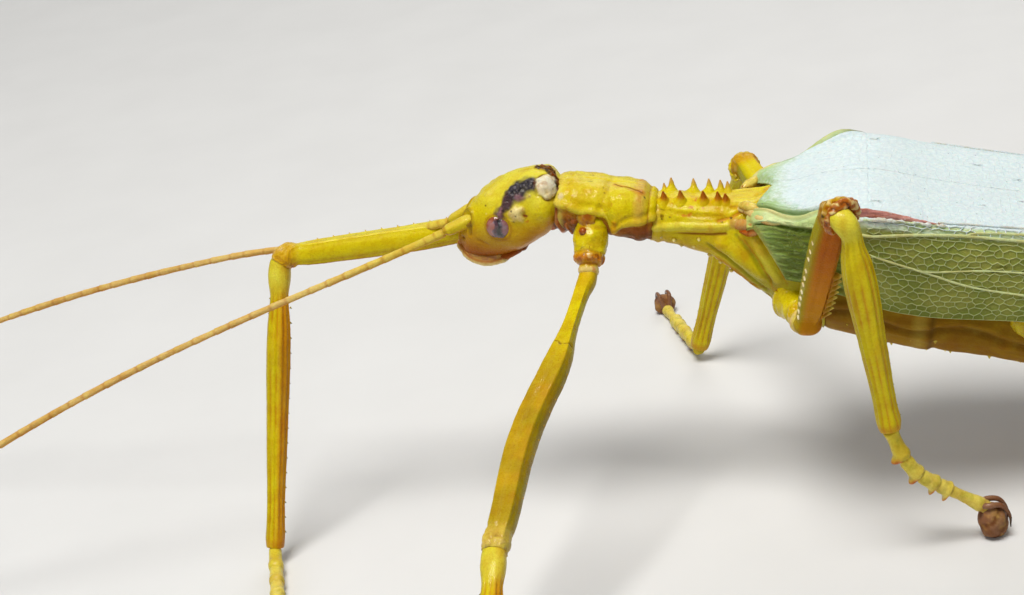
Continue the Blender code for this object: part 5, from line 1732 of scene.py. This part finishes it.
def wing_front(name, side):
    """the finely folded root of the forewing, ahead of its cells"""
    rows, columns = round(100 / COARSE), round(230 / COARSE)
    place = {}

    def lay_out(row, s):
        front = level(s, WINGS["tegmen"]["front"])
        x = front + (CELLS_FROM + 0.45 - front) * row / rows
        place.update(x=x, s=s, share=row / rows)
        return np.stack((x, s, 0 * x), axis=1), np.zeros((len(x), 3))

    bm = sheet(rows, columns, lay_out, closed=False)
    x, s, share = place["x"], place["s"], place["share"]
    flat = np.stack((x, s * 14, 0 * x), axis=1)
    bumps, wander = noise(flat, 0.45, 3, 2), 0.1 * noise(flat, 1.6, 7)
    fold = step(x, 25.6, 23.4)
    under = (s - curve(x, CREASE)) * 14 + wander
    below = (s - curve(x, ROLL)) * 14 + wander
    rolled = step(under, 0.5, 0.9) * step(below, 0.05, -0.3)
    lift = wing_rise("tegmen", side, x, s) + 0.02 * noise(flat, 0.25, 11)
    lift += fold * (0.14 * fade(under + 0.45, 0.5) - 0.26 * fade(under, 0.32))
    lift += fold * 0.16 * fade(under - 0.42, 0.3)
    lift += fold * (rolled * (0.14 + 0.09 * bumps) - 0.22 * fade(below - 0.32, 0.35))
    second = (s - curve(x, CREASE) + 0.035 + 0.004 * (x - 20)) * 14 + wander
    lift -= 0.09 * fold * fade(second, 0.25)
    lines = noise(flat * (0.3, 1, 1), 0.3, 5, 2)
    lift += 0.13 * lines * step(below, 0.3, 0.9) * step(x, 25.4, 23.5)
    lift += 0.035 * noise(flat, 0.3, 15, 2) * step(under, 0.0, -0.6)
    lift -= 0.75 * (1 - step(share, -0.04, 0.07)) + 0.06 * step(share, 0.96, 1.0)
    painted = wing_paint("tegmen", x, s)
    colours, bloom, _ = painted
    band = fold * fade(under - 0.42, 0.34)
    # dark green along the creases is painted shade
    lay(colours, fold * fade(under, 0.26) * 0.75, "leaf_dark")
    lay(colours, fold * fade(second, 0.22) * 0.35, "leaf_dark")
    lay(colours, fold * rolled, "bud")
    lay(colours, fold * rolled * step(bumps, -0.1, -0.6) * 0.25, "leaf")
    lay(colours, band * 0.5, "straw")
    lay(colours, step(x, 20.8, 18.2) * fade(under - 0.42, 0.4) * 0.9, "cream")
    # dark green below the rolled edge is painted shade
    lay(colours, fold * fade(below - 0.35, 0.4) * 0.85, "leaf_dark")
    lay(colours, step(lines, 0.05, 0.5) * step(below, 0.5, 1.0) * 0.3, "leaf_pale")
    lay(colours, step(lines, -0.05, -0.5) * step(below, 0.5, 1.0) * 0.3, "moss")
    lay(colours, step(share, 0.1, 0.0) * step(s, 0.35, 0.45) * 0.6, "straw")
    bloom -= fold * (0.7 * fade(under - 0.4, 0.8) + 0.5 * rolled)
    finish_wing("tegmen", name, side, bm, x, s, lift, painted, 0.3 * band, "wing_front")


# long veins as (x, s) runs with their half thickness
LONG_VEINS = (
    (((24.3, 0.6), (25.6, 0.612), (28.9, 0.575), (31.7, 0.56), (36, 0.565), (45, 0.56), (53.4, 0.55)), 0.12),
    (((31.7, 0.56), (32.8, 0.535), (35.7, 0.525), (44, 0.52), (53, 0.52)), 0.09),
    (((24.3, 0.69), (25.6, 0.715), (29.2, 0.76), (32.5, 0.82), (36.0, 0.85), (43, 0.88), (52, 0.9)), 0.08),
    (((29.2, 0.76), (34, 0.73), (42, 0.74), (52.5, 0.74)), 0.07),
    (((30.0, 0.487), (34, 0.48), (42, 0.475), (53, 0.48)), 0.08),
)


def long_veins(name, side):
    """the raised main veins of a forewing"""
    runs = []
    for run, half in LONG_VEINS:
        x, s = np.array(run).T
        t = np.linspace(0, 1, 40)
        x, s = (curve(t, np.stack((np.linspace(0, 1, len(x)), k), axis=1)) for k in (x, s))
        points = on_wing(x, s, 0.03 + wing_rise("tegmen", side, x, s)) * (1, -side, 1)
        sizes = ((0, half), (0.6, half * 0.8), (1, half * 0.45))
        bm = limb(points, sizes, sizes, 12, 0.16, caps=(0.1, 0.1))
        note = info(bm)
        raise_skin(bm, coords(bm), outward(bm), 0.02 * noise(coords(bm), 0.4, 3))
        colours = plain(note, "vein_pale")
        # on top the veins take the pale waxy colour with its painted sky sheen
        on_top = curve(note[:, 2], np.stack((np.linspace(0, 1, len(s)), s), axis=1)) < 0.49
        lay(colours, on_top, "wing_white")
        runs.append(tone(bm, colours))
    piece(f"long_veins_{name}", join(runs), dull)


# the straps of the left forewing's hinge: run, half size and hue
STRAPS = (
    (((16.5, -1.4, 8.6), (17.2, -2.3, 8.85), (17.9, -3.35, 8.95), (18.9, -4.3, 9.0), (19.9, -4.9, 9.3)),
     0.36, "cream"),
    (((16.6, -1.6, 9.0), (17.2, -2.3, 9.2), (17.9, -3.0, 9.3)), 0.4, "straw"),
    (((15.9, -1.9, 7.7), (16.6, -2.2, 7.8), (17.4, -2.8, 8.1), (18.0, -3.4, 8.3)), 0.42, "tan"),
    (((16.7, -2.2, 7.3), (17.3, -2.6, 7.5), (17.8, -3.2, 7.6)), 0.4, "orange"),
)


def wing_hinge(name, side):
    """pale and brown straps that hinge the forewing"""
    flip = np.array((1, -side, 1))
    parts = []
    for path, half, hue in STRAPS:
        sizes = ((0, half * 0.6), (0.3, half), (0.7, half * 0.85), (1, half * 0.4))
        bm = limb(np.array(path) * flip, sizes, sizes, 48, 0.05, caps=(0.15, 0.15))
        co, out = skin_of(bm)
        fine = noise(co, 0.3, 4, 2)
        raise_skin(bm, co, out, 0.09 * noise(co, 0.5, 5, 2) + 0.03 * fine)
        colours = plain(co, hue)
        lay(colours, step(fine, 0.0, 0.5) * 0.4, "amber")
        # darker underneath: painted shade
        lay(colours, step(out[:, 2], 0.2, -0.6) * 0.6, "sienna")
        lay(colours, step(info(bm)[:, 2], 0.6, 1) * 0.6, "leaf_pale" if hue == "cream" else "tan")
        lay(colours, step(noise(co, 0.2, 9), 0.45, 0.6) * step(info(bm)[:, 2], 0.35, 0.1) * 0.9, "rust")
        parts.append(tone(bm, colours))
    piece(f"wing_hinge_{name}", join(parts), wet)


# the tear in the left forewing: its places along x, then for the pink skin and the ragged rim below it their
# s, half height and greatest half thickness, and how far they stand off the wing
TORN_AT = np.array((23.8, 25.0, 26.3, 27.7, 29.2, 30.4))
TORN = (
    ((0.482, 0.479, 0.484, 0.489, 0.494, 0.497), ((0, 0.5), (0.25, 0.48), (0.55, 0.3), (1, 0.04)),
     0.17, -0.02),
    ((0.514, 0.510, 0.508, 0.506, 0.504, 0.504), ((0, 0.1), (0.5, 0.12), (1, 0.07)), 0.1, 0.06),
)


def torn_lining():
    """pink skin showing where the left wing is torn, with a ragged pale rim below it"""
    parts = []
    for number, (s, sizes, thick, proud) in enumerate(TORN):
        path = on_wing(TORN_AT, np.array(s), np.full(len(TORN_AT), proud))
        thin = tuple((a, min(thick, b)) for a, b in sizes)
        bm = limb(path, thin, sizes, 56, 0.05, caps=(0.1, 0.1))
        co, out = skin_of(bm)
        fibre, crumb = noise(co * (0.25, 1, 1), 0.14, 3, 2), noise(co, 0.3, 6, 2)
        share = info(bm)[:, 2]
        if number == 0:
            colours = plain(co, "pink")
            lay(colours, step(share, 0.5, 0.0) * 0.75, "rose")
            lay(colours, step(fibre, 0.0, 0.4) * 0.6, "rose")
            lay(colours, step(fibre, 0.0, -0.4) * 0.5, "mauve")
            lay(colours, step(fibre, 0.3, 0.6) * step(share, 0.25, 0.5) * 0.6, "white")
            lift = 0.06 * fibre
        else:
            colours = plain(co, "white")
            lay(colours, step(crumb, 0.1, -0.4) * 0.7, "leaf_pale")
            lift = 0.13 * crumb
        raise_skin(bm, co, out, lift)
        parts.append(tone(bm, colours))
    piece("wing_lining_left", join(parts), dull)


# ---- the whole insect

head()
eyes()
mouth()
feelers()
neck()
prothorax()
mesothorax()
hind_body()
for which_leg in LEG_JOINTS:
    build_leg(*which_leg)
for which_side in SIDES:
    for wing_kind in WINGS:
        wing(wing_kind, *which_side)
    wing_front(*which_side)
    long_veins(*which_side)
    wing_hinge(*which_side)
    if which_side[0] == "left":
        torn_lining()

# ---- floor, light and camera


def studio():
    """a plain pale floor, a soft room and three area lamps"""
    floor_bm = bmesh.new()
    bmesh.ops.create_grid(floor_bm, x_segments=1, y_segments=1, size=3.0)
    mesh = bpy.data.meshes.new("floor")
    floor_bm.to_mesh(mesh)
    floor_bm.free()
    floor = bpy.data.objects.new("floor", mesh)
    bpy.context.scene.collection.objects.link(floor)
    paint = bpy.data.materials.new("floor")
    paint.use_nodes = True
    tree = paint.node_tree
    spot = node(tree, "TexCoord").outputs["Object"]
    cloud = node(tree, "TexNoise", {"Vector": spot, "Scale": 90.0, "Detail": 6})
    hue = tint(tree, cloud.outputs[0], (0.62, 0.62, 0.61, 1), (0.68, 0.68, 0.67, 1))
    principled = tree.nodes["Principled BSDF"]
    tree.links.new(hue, principled.inputs["Base Color"])
    principled.inputs["Roughness"].default_value = 0.75
    mesh.materials.append(paint)

    bpy.context.scene.view_settings.view_transform = "Standard"
    world = bpy.data.worlds.new("soft room")
    bpy.context.scene.world = world
    world.use_nodes = True
    room = world.node_tree.nodes["Background"]
    room.inputs["Color"].default_value = (0.95, 0.97, 1.0, 1)
    room.inputs["Strength"].default_value = 0.22
    lamps = (
        ("key", (-0.04, -0.1, 0.46), 0.2, 2.3, (1.0, 0.98, 0.95)),
        ("fill", (-0.3, -0.38, 0.2), 0.25, 0.35, (0.95, 0.97, 1.0)),
        ("rim", (0.05, 0.4, 0.3), 0.25, 0.5, (1.0, 0.98, 0.95)),
    )
    for label, place, size, power, hue in lamps:
        lamp = bpy.data.lights.new(label, "AREA")
        lamp.size = size
        lamp.energy = power
        lamp.color = hue
        thing = bpy.data.objects.new(label, lamp)
        bpy.context.scene.collection.objects.link(thing)
        way = Vector(place)
        thing.location = way
        thing.rotation_euler = way.to_track_quat("Z", "Y").to_euler()


def camera():
    """stands to the insect's left, a little ahead and above, level with its body axis"""
    turn = math.radians(8)
    rise = math.radians(25)
    distance = 160.0
    focal_length = 75.94
    back = Vector((math.sin(turn) * math.cos(rise), -math.cos(turn) * math.cos(rise), math.sin(rise)))
    right = Vector((math.cos(turn), math.sin(turn), 0))
    up = back.cross(right)
    view = Matrix((right, up, back)).transposed().to_4x4()
    place = model_from_body @ Matrix.Translation(back * distance) @ view
    spot, turned, _ = place.decompose()
    lens = bpy.data.cameras.new("camera")
    lens.sensor_width = 36
    lens.lens = focal_length
    lens.clip_start = 0.001
    thing = bpy.data.objects.new("camera", lens)
    thing.matrix_world = Matrix.LocRotScale(spot, turned, None)
    bpy.context.scene.collection.objects.link(thing)
    bpy.context.scene.camera = thing


studio()
camera()
